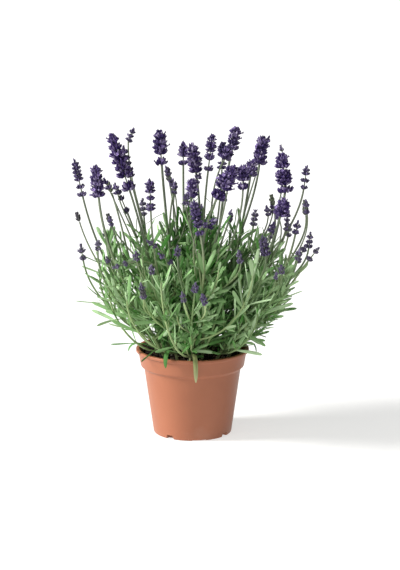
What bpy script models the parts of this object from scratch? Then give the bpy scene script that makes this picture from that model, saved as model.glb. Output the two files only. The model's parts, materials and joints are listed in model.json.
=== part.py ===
# Potted lavender: a round nursery pot filled with soil, eighteen leafy sprays and their flower heads.
# Lengths are in millimetres until a mesh is made. +Z is up, -Y is the front, and the origin is the
# middle of the pot's flat underside.

import bmesh
import bpy
import numpy as np

MM = 0.001
SEED = 5
SEAT_GAP = 0.3  # between pieces that touch

# the pot
POT_HEIGHT = 99.0
POT_SIDES = 28
FOOT_RADIUS = 45.0
WALL_TOP_RADIUS = 55.6
COLLAR_FOOT_RADIUS = 59.6
COLLAR_TOP_RADIUS = 62.2
RIM_RADIUS = 65.0
COLLAR_FOOT = 79.5
SHOULDER = 76.0
RIM_FOOT = 95.0
WALL = 1.3
FLOOR = 2.8
STANDING_DISC = 17.0
NOTCH_TURN = -35.0  # degrees from the front to the first drainage notch
NOTCH = (9.0, 12.0, 4.0)
ARCH = (21.0, 10.0, 0.9)

# the soil
SOIL_LEVEL = 88.0
SOIL_SIDES = 14  # a divisor of the pot's sides, so that corners meet corners
SOIL_RINGS = (18.0, 34.0, 48.0)
STEM_DEPTH = 16.0
HOLE_MARGIN = 0.7
SOIL_ROOM = 1.5  # from the soil's formula to a leaf, as the soil's faces are flat between its rings

# the plant
MAIN_RADIUS = 1.35
TIP_RADIUS = 0.9
SIDE_RADIUS = 1.0
NODE_HEIGHT = 1.8  # of the short band of stem that leaves and side stems grow from
NODE_SPACING = 23.0
LEAFY_TOP = 240.0  # leaves end at about this height on the pot's axis, and lower further out
LEAFY_FALL = 0.40
LEAF_THICK = 1.1
LONG_LEAVES = 0.90  # the share of places at the nodes that hold a leaf
SHORT_LEAVES = 0.06
LEAST_SPREAD = 0.3  # radians between a leaf's root and its stem
SHOOT_TIP = 11.0  # length of the folded leaf that ends a shoot with no flower
CLEARANCE = 0.6
MOST_BENDS = 14  # how often a crowded stem's bends grow, and by how much
BEND = 1.1
STEM_ROOM = 0.8  # more for a stem, whose curve is made of straight lengths

# Where each spray comes out of the soil, from its first spray at the left to the two at the back.
SEATS = {
    1: (-36, -3), 2: (-31, -18), 3: (-23, 5), 4: (-33, 16), 5: (-17, -30), 6: (-11, 14),
    7: (-6, 35), 8: (3, 17), 9: (-3, -43), 10: (6, 0), 11: (14, 36), 12: (11, -22),
    13: (24, 19), 14: (34, 6), 15: (27, -27), 16: (40, -10), 17: (-24, 35), 18: (30, 34),
}

# Each flower spike: its spray, its tip's x, y and z, its foot's x and z, its width, and its whorls from
# the foot up. "o" is a whorl of florets and "." a bare stretch. "bud" is a green bud, part of the spray.
# The first spike of a spray stands on its main stem.
SPIKES = [
    (1, (-133, -10, 320), (-124, 278), 11, "o.o.oo"),
    (1, (-133, 30, 251), (-130, 241), 6, "bud"),
    (1, (-126, -30, 227), (-123, 207), 9, "oo"),
    (2, (-107, -50, 320), (-104, 283), 15, "ooooo"),
    (2, (-104, -60, 238), (-105, 225), 8, "oo"),
    (3, (-92, 0, 348), (-71, 282), 19, "o.oooooo"),
    (3, (-96, -10, 257), (-92, 245), 6, "bud"),
    (3, (-67, 60, 346), (-74, 330), 9, "oo"),
    (4, (-88, 40, 281), (-75, 249), 9, "o.oo"),
    (4, (-98, 60, 281), (-94, 270), 6, "bud"),
    (5, (-47, -60, 306), (-46, 270), 12, "o.o.oo"),
    (5, (-62, -90, 231), (-61, 219), 8, "oo"),
    (5, (-44, -112, 220), (-44, 208), 8, "oo"),
    (5, (-54, -110, 191), (-53, 181), 6, "bud"),
    (6, (-38, 20, 349), (-35, 309), 16, "o.oooo"),
    (6, (-30, 70, 298), (-27, 281), 7, "bud"),
    (7, (-11, 95, 324), (-11, 298), 12, "oooo"),
    (7, (-20, 50, 282), (-22, 272), 6, "bud"),
    (8, (-1, 40, 331), (4, 297), 16, "ooooo"),
    (8, (0, -30, 302), (-1, 280), 14, "ooo"),
    (9, (1, -85, 286), (9, 247), 12, "o.o.oo"),
    (9, (-16, -100, 239), (-16, 226), 9, "oo"),
    (9, (4, -122, 202), (3, 190), 8, "oo"),
    (9, (26, -20, 250), (19, 247), 6, "bud"),
    (10, (23, 30, 343), (18, 301), 13, "o.o.ooo"),
    (10, (35, 65, 329), (34, 297), 12, "o.ooo"),
    (10, (45, 50, 244), (41, 234), 6, "bud"),
    (11, (52, 95, 342), (46, 315), 14, "oooo"),
    (11, (10, 125, 245), (11, 228), 9, "ooo"),
    (12, (42, -50, 310), (28, 282), 19, "ooooo"),
    (12, (57, -10, 314), (57, 286), 15, "o.ooo"),
    (12, (12, -118, 187), (12, 178), 6, "bud"),
    (13, (70, 55, 310), (67, 291), 14, "ooo"),
    (13, (82, 85, 333), (78, 299), 16, "ooooo"),
    (13, (91, 60, 267), (94, 254), 6, "bud"),
    (14, (101, 20, 323), (106, 278), 20, "ooo.ooo"),
    (14, (132, 40, 305), (128, 278), 11, "o.oo"),
    (14, (110, 20, 245), (107, 232), 8, "oo"),
    (14, (93, 10, 238), (89, 225), 8, "oo"),
    (15, (103, -60, 284), (98, 264), 16, "ooo"),
    (15, (77, -80, 242), (80, 228), 8, "oo"),
    (15, (98, -85, 215), (99, 203), 8, "oo"),
    (16, (118, -50, 258), (115, 241), 10, "oo"),
    (16, (126, -20, 275), (128, 257), 7, "bud"),
    (16, (135, 10, 233), (133, 214), 10, "ooo"),
    (16, (144, -10, 219), (132, 203), 9, "o.o"),
    (16, (120, -60, 228), (117, 213), 9, "oo"),
    (17, (-60, 110, 254), (-58, 234), 10, "ooo"),
    (17, (-105, 95, 219), (-102, 205), 8, "oo"),
    (17, (-20, 130, 204), (-20, 193), 6, "bud"),
    (18, (75, 120, 239), (72, 220), 10, "ooo"),
    (18, (115, 85, 228), (112, 213), 9, "oo"),
]

# The tips of the leaves that hang over the pot's rim, by their spray.
HANGING = {2: (-73, -26, 101), 5: (-30, -64, 91), 9: (4, -71, 76), 16: (73, -14, 96)}

FLORET_SIDES = 5
SMALL_SIDES = 4
LARGE_SPIKE = 11  # spikes this wide or wider take FLORET_SIDES
FLORET_LIFT = 0.75  # how far florets rise for each step outwards


def unit(vector):
    return vector / np.linalg.norm(vector)


def turned(vector, axis, angle):
    # Rodrigues' rotation of a vector about a unit axis, by an angle in radians.
    part = np.cross(axis, vector) * np.sin(angle)
    return vector * np.cos(angle) + part + axis * (axis @ vector) * (1 - np.cos(angle))


def curve_points(controls, steps):
    # Points on the cubic or quadratic Bezier curve of these control points.
    t = np.linspace(0, 1, steps)[:, None]
    points = [np.broadcast_to(np.array(c, float), (steps, 3)) for c in controls]
    while len(points) > 1:
        points = [a + (b - a) * t for a, b in zip(points, points[1:])]
    return points[0]


def lengths_along(points):
    # The length of the chain from its start to each of its points.
    return np.append(0, np.cumsum(np.linalg.norm(np.diff(points, axis=0), axis=1)))


def spikes_of(spray):
    return [i for i, spike in enumerate(SPIKES) if spike[0] == spray]


def spike_ends(index):
    # The foot and tip of a flower spike. Its foot leans back towards the pot's axis a little.
    _, tip, (x, z), _, _ = SPIKES[index]
    return np.array([x, tip[1] * 0.94, z], float), np.array(tip, float)


def soil_height(x, y):
    # The soil's lumpy top, highest in the middle.
    lumps = 1.2 * np.sin(0.11 * x + 1.0) * np.cos(0.13 * y)
    return SOIL_LEVEL + 3.0 * (1 - (x * x + y * y) / COLLAR_FOOT_RADIUS**2) + lumps


def rod_distances(a, b, c, d):
    # The distance from each segment a-b to each segment c-d, as a table with a row for each a-b.
    along = (b - a)[:, None]
    other = (d - c)[None]
    between = a[:, None] - c[None]
    aa = np.maximum((along**2).sum(2), 1e-9)
    bb = np.maximum((other**2).sum(2), 1e-9)
    ab = (along * other).sum(2)
    ar = (along * between).sum(2)
    br = (other * between).sum(2)
    spread = aa * bb - ab * ab
    s = np.where(spread > 1e-9, np.clip((ab * br - ar * bb) / np.maximum(spread, 1e-9), 0, 1), 0)
    t = np.clip((ab * s + br) / bb, 0, 1)
    s = np.clip((ab * t - ar) / aa, 0, 1)
    return np.linalg.norm(between + s[..., None] * along - t[..., None] * other, axis=2)


def blade_room(width):
    # The radius that a blade of this width takes up as a rod: a little under half its width.
    return width * 0.44 + 0.2


class Crowd:
    # Everything grown so far, as round-ended rods, each with its spray and its stem.
    def __init__(self):
        self.starts = np.zeros((0, 3))
        self.ends = np.zeros((0, 3))
        self.radii = np.zeros(0)
        self.sprays = np.zeros(0, int)
        self.stems = np.zeros(0, int)

    def add(self, points, radii, spray, stem):
        count = len(points) - 1
        self.starts = np.vstack([self.starts, points[:-1]])
        self.ends = np.vstack([self.ends, points[1:]])
        self.radii = np.append(self.radii, np.broadcast_to(radii, count))
        self.sprays = np.append(self.sprays, np.full(count, spray))
        self.stems = np.append(self.stems, np.full(count, stem))

    def room(self, points, radius, spray, own_points, own_stem=None):
        # The smallest gap from a new chain of rods to the others, less the clearance that it needs.
        # Its own spray is measured from own_points, which leave out the root, and not from own_stem.
        others = self.sprays != spray
        gaps = []
        for chain, mask in ((points, others), (own_points, ~others & (self.stems != own_stem))):
            if mask.any():
                apart = rod_distances(chain[:-1], chain[1:], self.starts[mask], self.ends[mask])
                gaps.append((apart - self.radii[mask][None]).min())
        return min(gaps) - radius - CLEARANCE


def pot_room(points, radius):
    # The room between a chain's points and the pot and soil: above the rim, inside it or outside it.
    reach = np.hypot(points[:, 0], points[:, 1])
    above = points[:, 2] - radius - POT_HEIGHT - 0.5
    inside = np.minimum(
        COLLAR_FOOT_RADIUS - 2 * WALL - reach - radius,
        points[:, 2] - radius - soil_height(points[:, 0], points[:, 1]) - SOIL_ROOM,
    )
    outside = reach - radius - RIM_RADIUS - 0.5
    return np.maximum(np.maximum(above, inside), outside).min()


class Stem:
    # A square stem along a path, in short bands (nodes) that carry leaves and side stems on four faces.
    # One that ends in a spike holds its number, and one with no parent stands in the soil.
    def __init__(self, number, spray, points, radii, bands, reference=None, spike=None):
        self.number, self.spray, self.spike = number, spray, spike
        self.points, self.along = points, lengths_along(points)
        self.length = self.along[-1]
        self.radii = radii
        self.bands = bands
        self.children = {}
        self.parent = None
        self.stations = self.station_lengths()
        if reference is not None:
            self.frames = self.station_frames(reference)

    def bear(self, side_stem, band, face):
        side_stem.parent = self
        side_stem.frames = side_stem.station_frames(self.face_side(band, face))
        self.children[(band, face)] = side_stem

    def at(self, length):
        return np.array([np.interp(length, self.along, self.points[:, i]) for i in range(3)])

    def direction(self, length):
        near, far = max(length - 2, 0), min(length + 2, self.length)
        return unit(self.at(far) - self.at(near))

    def radius(self, length):
        return np.interp(length / self.length, (0, 1), self.radii)

    def station_lengths(self):
        # The lengths of the stem's rings: two at each band, and more where a stretch is long.
        marks = [0.0]
        for band in self.bands:
            marks += [band - NODE_HEIGHT / 2, band + NODE_HEIGHT / 2]
        marks.append(self.length)
        found = [marks[0]]
        for low, high in zip(marks, marks[1:]):
            parts = max(1, int(round((high - low) / 40)))
            found += list(np.linspace(low, high, parts + 1)[1:])
        return found

    def station_frames(self, reference):
        frames = []
        side = reference
        for length in self.stations:
            ahead = self.direction(length)
            side = unit(side - ahead * (side @ ahead))
            frames.append((self.at(length), ahead, side, np.cross(ahead, side), self.radius(length)))
        return frames

    def band_frame(self, band):
        station = int(np.argmin([abs(s - (self.bands[band] - NODE_HEIGHT / 2)) for s in self.stations]))
        return station, self.frames[station]

    def face_direction(self, band, face):
        _, (_, _, side, up, _) = self.band_frame(band)
        return (-up, side, up, -side)[face]

    def face_side(self, band, face):
        _, (_, _, side, up, _) = self.band_frame(band)
        return (side, up, -side, -up)[face]

    def free_face(self, band, wanted):
        # The free face of a band that looks most nearly the wanted way.
        free = [f for f in range(4) if (band, f) not in self.children]
        return max(free, key=lambda f: self.face_direction(band, f) @ wanted) if free else None


class Plant:
    def __init__(self):
        self.rng = np.random.default_rng(SEED)
        self.crowd = Crowd()
        self.stems = []
        self.leaves = 0

    def reserve_spikes(self):
        # Each flower head takes its place before anything grows, under a number below any spray's.
        for index, spike in enumerate(SPIKES):
            self.crowd.add(np.array(spike_ends(index)), spike[3] / 2, -1 - index, -1)

    def best(self, make, tries):
        # The roomiest of several draws, or the first that has room enough.
        found = None
        for attempt in range(tries):
            candidate = make(attempt)
            if found is None or candidate[0] > found[0]:
                found = candidate
            if found[0] > 0:
                break
        return found

    def grow_stem(self, spray, start, way, index, radii, reach):
        # The path of a stem from its start to its spike's foot, bent until it clears what has grown.
        # A side stem's first stretch is left out of the test against its own spray.
        foot, tip = spike_ends(index)
        head_way = unit(tip - foot)
        end = foot - head_way * SEAT_GAP
        span = np.linalg.norm(end - start)
        is_side = radii[0] < MAIN_RADIUS
        thick = radii[0] + STEM_ROOM

        def make(attempt):
            low, high = self.rng.normal(0, 1.0, (2, 3)) * [1, 1, 0.3] * min(attempt, MOST_BENDS) * BEND
            low *= 0.5 if is_side else 1.0
            controls = (start, start + way * reach * span + low, end - head_way * 0.36 * span + high, end)
            points = curve_points(controls, 41)
            rods = points[::4]
            own = rods[2:-1] if is_side else rods[1:-1]
            crowd = self.crowd.room(rods[:-1], thick, spray, own)
            return min(crowd, pot_room(points[2:], thick)), points

        points = self.best(make, 60)[1]
        self.crowd.add(points[::4], radii[0] + 0.1, spray, len(self.stems))
        return points

    def node_lengths(self, points, first, most):
        # The lengths at which nodes sit, while the stem is in the leafy part of the plant.
        along = lengths_along(points)
        found = []
        length = first
        while len(found) < most and length < along[-1] - 30:
            x, y, z = (np.interp(length, along, points[:, i]) for i in range(3))
            if z > LEAFY_TOP - LEAFY_FALL * np.hypot(x, y):
                break
            found.append(length)
            length += NODE_SPACING * self.rng.uniform(0.85, 1.15)
        return found

    def grow_sprays(self):
        for spray, (x, y) in SEATS.items():
            index = spikes_of(spray)[0]
            seat = np.array([x, y, soil_height(x, y)])
            way = unit((spike_ends(index)[0] - seat) * [1.25, 1.25, 1])
            radii = (MAIN_RADIUS, TIP_RADIUS)
            points = self.grow_stem(spray, seat, way, index, radii, 0.36)
            points = np.vstack([seat - way * STEM_DEPTH, points])
            bands = self.node_lengths(points, STEM_DEPTH + 10, 6)
            reference = turned(unit(np.cross(way, [0.3, 0.9, 0.1])), way, self.rng.uniform(0, 1.57))
            self.stems.append(Stem(len(self.stems), spray, points, radii, bands, reference, index))
        for spray in SEATS:
            self.grow_side_stems(spray)

    def grow_side_stems(self, spray):
        main = next(s for s in self.stems if s.spray == spray)
        radii = (SIDE_RADIUS, TIP_RADIUS * 0.9)
        lowest_first = sorted(spikes_of(spray)[1:], key=lambda i: spike_ends(i)[0][2])
        for order, index in enumerate(lowest_first):
            band = min(1 + order, len(main.bands) - 1)
            start = main.at(main.bands[band])
            goal = unit(spike_ends(index)[0] - start)
            face = main.free_face(band, goal)
            way = unit(main.face_direction(band, face) * 0.75 + main.direction(main.bands[band]) * 0.5 + goal)
            points = self.grow_stem(spray, start, way, index, radii, 0.3)
            bands = self.node_lengths(points, 18, 3)
            main.bear(Stem(len(self.stems), spray, points, radii, bands, None, index), band, face)
            self.stems.append(main.children[(band, face)])

    def grow_leafy_shoot(self, main, band, length, rise):
        # A shoot with no flower, which leans out of the spray and curves up.
        start = main.at(main.bands[band])
        centre = np.array([0, 0, start[2]])
        outward = unit((start - centre) * [1, 1, 0] + 1e-3)

        def make(attempt):
            turn = self.rng.normal(0, 0.5 + 0.08 * attempt)
            way = turned(outward, np.array([0, 0, 1.0]), turn)
            face = main.free_face(band, way)
            if face is None:
                return -99.0, None, None, None
            facing = main.face_direction(band, face)
            first = unit(facing + way * 0.7 + main.direction(main.bands[band]) * 0.5)
            goal = start + way * length * np.cos(rise) + np.array([0, 0, length * np.sin(rise)])
            controls = (start, start + first * 0.4 * length, goal - [0, 0, 0.3 * length], goal)
            points = curve_points(controls, 25)
            rods = np.vstack([points[::4], goal + [0, 0, SHOOT_TIP]])
            crowd = self.crowd.room(rods, 2.2, main.spray, rods[2:])
            return min(crowd, pot_room(points[2:], 2.2)), points, rods, face

        room, points, rods, face = self.best(make, 40)
        if room < 0:
            return
        radii = (SIDE_RADIUS, TIP_RADIUS * 0.8)
        bands = list(np.linspace(0.36, 0.94, 3) * lengths_along(points)[-1])
        shoot = Stem(len(self.stems), main.spray, points, radii, bands)
        self.crowd.add(rods, 1.1, main.spray, shoot.number)
        main.bear(shoot, band, face)
        self.stems.append(shoot)

    def grow_leaf(self, stem, band, face, length, width, angle, droop):
        # One blade from a face of a node: a quadratic curve that leaves at an angle and bends.
        centre, ahead, _, _, radius = stem.band_frame(band)[1]
        facing = stem.face_direction(band, face)
        root = centre + ahead * NODE_HEIGHT / 2 + facing * radius * 0.7

        def make(attempt):
            spread = max(LEAST_SPREAD, angle + self.rng.normal(0, 0.05 + 0.03 * attempt))
            turn = self.rng.normal(0, 0.12 + 0.05 * attempt)
            size = length * (1 - 0.012 * attempt)
            outward = turned(facing, ahead, np.clip(turn, -0.75, 0.75))
            first = outward * np.sin(spread) + ahead * np.cos(spread)
            bend = first + np.array([0, 0, -1.0]) * (droop + self.rng.normal(0, 0.12))
            middle = root + first * size * 0.5
            controls = (root, middle, middle + unit(bend) * size * 0.5)
            points = curve_points(controls, 9)
            thick = blade_room(width)
            crowd = self.crowd.room(points[::2], thick, stem.spray, points[2::2], stem.number)
            return min(crowd, pot_room(points[1:], thick)), controls

        room, controls = self.best(make, 14)
        if room < 0:
            return
        self.add_leaf(stem, band, face, controls, width)

    def add_leaf(self, stem, band, face, controls, width):
        points = curve_points(controls, 9)
        self.crowd.add(points[[1, 3, 5, 8]], blade_room(width), stem.spray, 10000 + self.leaves)
        self.leaves += 1
        stem.children[(band, face)] = (controls, width, stem.face_side(band, face))

    def hang_leaf(self, stem, tip, width):
        # A leaf of the lowest node that arches over the pot's rim and hangs to its tip.
        outward = unit(tip * [1, 1, 0])
        face = stem.free_face(0, outward)
        centre, ahead, _, _, radius = stem.band_frame(0)[1]
        root = centre + ahead * NODE_HEIGHT / 2 + stem.face_direction(0, face) * radius * 0.7
        arch = outward * (RIM_RADIUS + 9) + np.array([0, 0, POT_HEIGHT + 21])
        self.add_leaf(stem, 0, face, (root, arch, tip), width)

    def grow_leaves(self):
        for stem in self.stems:
            for band in range(len(stem.bands)):
                height = stem.at(stem.bands[band])[2]
                young = np.clip((height - 100) / 130, 0, 1)
                longer = (band + stem.number) % 2
                for face in range(4):
                    if (band, face) in stem.children:
                        continue
                    is_long = face % 2 == longer
                    if self.rng.random() > (LONG_LEAVES if is_long else SHORT_LEAVES):
                        continue
                    length = self.rng.uniform(32, 42) if is_long else self.rng.uniform(19, 27)
                    length *= 1 - 0.25 * young
                    width = self.rng.uniform(3.9, 4.8) if is_long else self.rng.uniform(3.0, 3.8)
                    angle = self.rng.uniform(0.5, 0.85) - 0.12 * young
                    droop = self.rng.uniform(-0.25, 0.45) - 0.25 * young
                    self.grow_leaf(stem, band, face, length, width, angle, droop)

    def grow(self):
        self.reserve_spikes()
        self.grow_sprays()
        mains = [s for s in self.stems if s.parent is None]
        for main in mains:
            for band in (0, 1)[: 2 if main.spray % 2 else 1]:
                if band < len(main.bands):
                    length = self.rng.uniform(85, 125)
                    self.grow_leafy_shoot(main, band, length, self.rng.uniform(0.7, 1.1))
        for spray, tip in HANGING.items():
            self.hang_leaf(mains[spray - 1], np.array(tip, float), 4.4)
        self.grow_leaves()


class Shell:
    # Points and faces of one closed body, gathered ring by ring.
    def __init__(self):
        self.points = []
        self.faces = []

    def add(self, point):
        self.points.append(np.array(point, float))
        return len(self.points) - 1

    def ring(self, frame):
        # The four corners of a square stem: at -135, -45, 45 and 135 degrees round it.
        centre, _, side, up, radius = frame
        half = radius / np.sqrt(2)
        corners = ((-half, -half), (half, -half), (half, half), (-half, half))
        return [self.add(centre + side * a + up * b) for a, b in corners]

    def build(self, name):
        mesh = bpy.data.meshes.new(name)
        mesh.from_pydata([tuple(p * MM) for p in self.points], [], self.faces)
        mesh.validate()
        return mesh


def shell_leaf(shell, corners, leaf):
    # A three-sided blade raised from the upper half of a stem's face: two edges and a keel.
    controls, width, side = leaf
    low, right, left = corners
    root, middle, tip = controls
    at = 0.54
    centre = curve_points(controls, 101)[int(at * 100)]
    way = unit((middle - root) * (1 - at) + (tip - middle) * at)
    side = unit(side - way * (side @ way))
    above = np.cross(way, side)
    c = shell.add(centre + side * width / 2 + above * 0.25)
    d = shell.add(centre - side * width / 2 + above * 0.25)
    a = shell.add(centre - above * (LEAF_THICK - 0.25))
    end = shell.add(tip)
    shell.faces += [(right, left, d, c), (left, low, a, d), (low, right, c, a)]
    shell.faces += [(c, d, end), (d, a, end), (a, c, end)]


def shell_stem(shell, stem, ring):
    # The stem's rings joined in bands, with its leaves and side stems raised from its nodes.
    frames = stem.frames
    band_of = {stem.band_frame(b)[0]: b for b in range(len(stem.bands))}
    for station in range(len(frames) - 1):
        following = shell.ring(frames[station + 1])
        band = band_of.get(station)
        for face in range(4):
            after = (face + 1) % 4
            quad = (ring[face], ring[after], following[after], following[face])
            child = None if band is None else stem.children.get((band, face))
            if isinstance(child, Stem):
                shell_stem(shell, child, quad)
            elif child is not None:
                shell_leaf(shell, (quad[0], quad[2], quad[3]), child)
                shell.faces.append((quad[0], quad[1], quad[2]))
            else:
                shell.faces.append(quad)
        ring = following
    close_stem(shell, stem, ring)


def close_stem(shell, stem, ring):
    # A flat end under a flower head, a folded leaf on a shoot, or a bud with two swellings.
    centre, ahead, side, up, _ = stem.frames[-1]
    if stem.spike is not None and SPIKES[stem.spike][4] != "bud":
        shell.faces.append(tuple(ring))
        return
    if stem.spike is None:
        shell_point(shell, ring, centre + ahead * SHOOT_TIP)
        return
    tip = spike_ends(stem.spike)[1]
    width = SPIKES[stem.spike][3]
    for share, wide in ((0.18, 0.42), (0.45, 0.5), (0.75, 0.32)):
        frame = (centre + (tip - centre) * share, ahead, side, up, width * wide)
        following = shell.ring(frame)
        for i in range(4):
            j = (i + 1) % 4
            shell.faces.append((ring[i], ring[j], following[j], following[i]))
        ring = following
    shell_point(shell, ring, tip)


def shell_point(shell, ring, point):
    end = shell.add(point)
    for i in range(4):
        shell.faces.append((ring[i], ring[(i + 1) % 4], end))


def material(name, colour, roughness):
    made = bpy.data.materials.new(name)
    made.use_nodes = True
    shader = made.node_tree.nodes["Principled BSDF"]
    shader.inputs["Base Color"].default_value = (*colour, 1)
    shader.inputs["Roughness"].default_value = roughness
    made.diffuse_color = (*colour, 1)
    return made


def add_object(name, mesh, surface):
    made = bpy.data.objects.new(name, mesh)
    mesh.materials.append(surface)
    bpy.context.scene.collection.objects.link(made)
    return made


def pot_inside(height):
    # The radius of the pot's inside at a height above its floor.
    heights = (FLOOR, SHOULDER + 0.5, COLLAR_FOOT + 1.0, POT_HEIGHT)
    radii = (
        FOOT_RADIUS - WALL, WALL_TOP_RADIUS - WALL, COLLAR_FOOT_RADIUS - WALL, COLLAR_TOP_RADIUS - WALL
    )
    return np.interp(height, heights, radii)


def pot_profile():
    # From the middle of the floor up the inside, over the rim, down the outside and under to the axis.
    lip = RIM_RADIUS
    inner = [
        (0, FLOOR),
        (FOOT_RADIUS - WALL - 1.2, FLOOR),
        (FOOT_RADIUS - WALL, FLOOR + 1.2),
        (pot_inside(SHOULDER + 0.5), SHOULDER + 0.5),
        (pot_inside(COLLAR_FOOT + 1.0), COLLAR_FOOT + 1.0),
        (pot_inside(POT_HEIGHT), POT_HEIGHT - 1.0),
        (pot_inside(POT_HEIGHT) + 0.8, POT_HEIGHT),
    ]
    outer = [
        (lip - 0.6, POT_HEIGHT),
        (lip, POT_HEIGHT - 0.5),
        (lip, RIM_FOOT + 1.0),
        (COLLAR_TOP_RADIUS, RIM_FOOT),
        (COLLAR_FOOT_RADIUS, COLLAR_FOOT),
        (WALL_TOP_RADIUS, SHOULDER),
        (FOOT_RADIUS, 0.8),
        (FOOT_RADIUS - 0.8, 0),
    ]
    under = [(33.5, 0), (32.0, 1.4), (STANDING_DISC + 1.5, 1.4), (STANDING_DISC, 0), (0, 0)]
    return inner + outer + under


def make_pot(surface):
    profile = [(r * MM, 0, z * MM) for r, z in pot_profile()]
    mesh = bpy.data.meshes.new("pot")
    mesh.from_pydata(profile, [(i, i + 1) for i in range(len(profile) - 1)], [])
    pot = add_object("pot", mesh, surface)
    screw = pot.modifiers.new("turn", "SCREW")
    screw.steps = screw.render_steps = POT_SIDES
    screw.use_merge_vertices = True
    screw.merge_threshold = 0.0001
    screw.use_smooth_shade = False
    cut = pot.modifiers.new("notches", "BOOLEAN")
    cut.operation = "DIFFERENCE"
    cut.object = make_notch_cutter()


def make_notch_cutter():
    # Four drainage notches through the corner of wall and floor, with a low arch between each two.
    work = bmesh.new()
    for turn in range(8):
        wide, deep, tall = NOTCH if turn % 2 == 0 else ARCH
        angle = np.radians(-90 + NOTCH_TURN + 45 * turn)
        box = bmesh.ops.create_cube(work, size=1.0)["verts"]
        for vert in box:
            top = vert.co.z > 0
            across = vert.co.x * wide * (0.7 if top else 1.0)
            out = FOOT_RADIUS + vert.co.y * deep
            height = tall if top else -1.0
            x = out * np.cos(angle) - across * np.sin(angle)
            y = out * np.sin(angle) + across * np.cos(angle)
            vert.co = (x * MM, y * MM, height * MM)
    bmesh.ops.recalc_face_normals(work, faces=work.faces)
    mesh = bpy.data.meshes.new("notch_cutter")
    work.to_mesh(mesh)
    work.free()
    cutter = bpy.data.objects.new("notch_cutter", mesh)
    cutter.hide_render = True
    cutter.display_type = "WIRE"
    bpy.context.scene.collection.objects.link(cutter)
    return cutter


def make_soil(surface, plant):
    work = bmesh.new()
    edge = pot_inside(SOIL_LEVEL) - SEAT_GAP
    rings = [(r, None) for r in (*SOIL_RINGS, edge)]
    for height in (COLLAR_FOOT + 1.0, SHOULDER + 0.5, FLOOR + 1.5):
        rings.append((pot_inside(height) - SEAT_GAP - 0.1, height + 0.1 * (height > 50)))
    rings.append((FOOT_RADIUS - WALL - 1.7, FLOOR + SEAT_GAP))
    angles = np.arange(SOIL_SIDES) / SOIL_SIDES * 2 * np.pi
    last = None
    top = work.verts.new((0, 0, soil_height(0, 0) * MM))
    for radius, height in rings:
        ring = []
        for angle in angles:
            x, y = radius * np.cos(angle), radius * np.sin(angle)
            z = soil_height(x, y) if height is None else height
            ring.append(work.verts.new((x * MM, y * MM, z * MM)))
        for i in range(SOIL_SIDES):
            j = (i + 1) % SOIL_SIDES
            corners = (top, ring[i], ring[j]) if last is None else (last[i], ring[i], ring[j], last[j])
            work.faces.new(corners)
        last = ring
    work.faces.new(list(reversed(last)))
    bmesh.ops.triangulate(work, faces=[f for f in work.faces if len(f.verts) == 4])
    mesh = bpy.data.meshes.new("soil")
    work.to_mesh(mesh)
    work.free()
    soil = add_object("soil", mesh, surface)
    cut = soil.modifiers.new("stem_holes", "BOOLEAN")
    cut.operation = "DIFFERENCE"
    cut.object = make_hole_cutter(plant)


def make_hole_cutter(plant):
    # A square hole for each spray's foot, a little wider and deeper than the stem.
    shell = Shell()
    for stem in plant.stems:
        if stem.parent is not None:
            continue
        centre, _, side, up, radius = stem.frames[0]
        ahead = unit(stem.frames[1][0] - centre)
        wide = radius + HOLE_MARGIN
        low = shell.ring((centre - ahead * SEAT_GAP, ahead, side, up, wide))
        high = shell.ring((centre + ahead * (STEM_DEPTH + 5), ahead, side, up, wide))
        shell.faces.append(tuple(reversed(low)))
        for i in range(4):
            j = (i + 1) % 4
            shell.faces.append((low[i], low[j], high[j], high[i]))
        shell.faces.append(tuple(high))
    cutter = bpy.data.objects.new("hole_cutter", shell.build("hole_cutter"))
    cutter.hide_render = True
    cutter.display_type = "WIRE"
    bpy.context.scene.collection.objects.link(cutter)
    return cutter


def make_sprays(plant, surface):
    for stem in plant.stems:
        if stem.parent is not None:
            continue
        shell = Shell()
        ring = shell.ring(stem.frames[0])
        shell.faces.append(tuple(reversed(ring)))
        shell_stem(shell, stem, ring)
        name = f"spray_{stem.spray:02d}"
        add_object(name, shell.build(name), surface)


def floret_whorl(shell, lower, upper, odd, wide, frame):
    # Alternate triangles of a band, the upward ones raised into florets that bulge and end in a point.
    # A floret keeps within its triangle's share of the turn and height, sheared upwards as it goes out.
    foot, ahead = frame
    sides = len(lower)
    for i in range(sides):
        j = (i + 1) % sides
        if odd:
            standing, hanging = (lower[i], lower[j], upper[j]), (upper[i], lower[i], upper[j])
        else:
            standing, hanging = (lower[i], lower[j], upper[i]), (upper[i], lower[j], upper[j])
        shell.faces.append(hanging)
        if not wide:
            shell.faces.append(standing)
            continue
        local = [shell.points[v] - foot for v in standing]
        heights = np.array([p @ ahead for p in local])
        offsets = [p - ahead * h for p, h in zip(local, heights)]
        inner = float(np.mean([np.linalg.norm(o) for o in offsets]))
        facing = unit(sum(unit(o) for o in offsets))
        across = np.cross(ahead, facing)
        middle = heights.mean()
        bulge = wide * 0.74
        raised = []
        for offset, height in zip(offsets, heights):
            turn = np.arctan2(offset @ across, offset @ facing) * 0.88
            spot = facing * np.cos(turn) + across * np.sin(turn)
            rise = middle + (height - middle) * 0.88 + FLORET_LIFT * (bulge - inner)
            raised.append(shell.add(foot + spot * bulge + ahead * rise))
        tip_rise = middle + (heights.max() - middle) * 0.25 + FLORET_LIFT * (wide - inner)
        point = shell.add(foot + facing * wide + ahead * tip_rise)
        for a in range(3):
            b = (a + 1) % 3
            shell.faces.append((standing[a], standing[b], raised[b], raised[a]))
            shell.faces.append((raised[a], raised[b], point))


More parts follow.
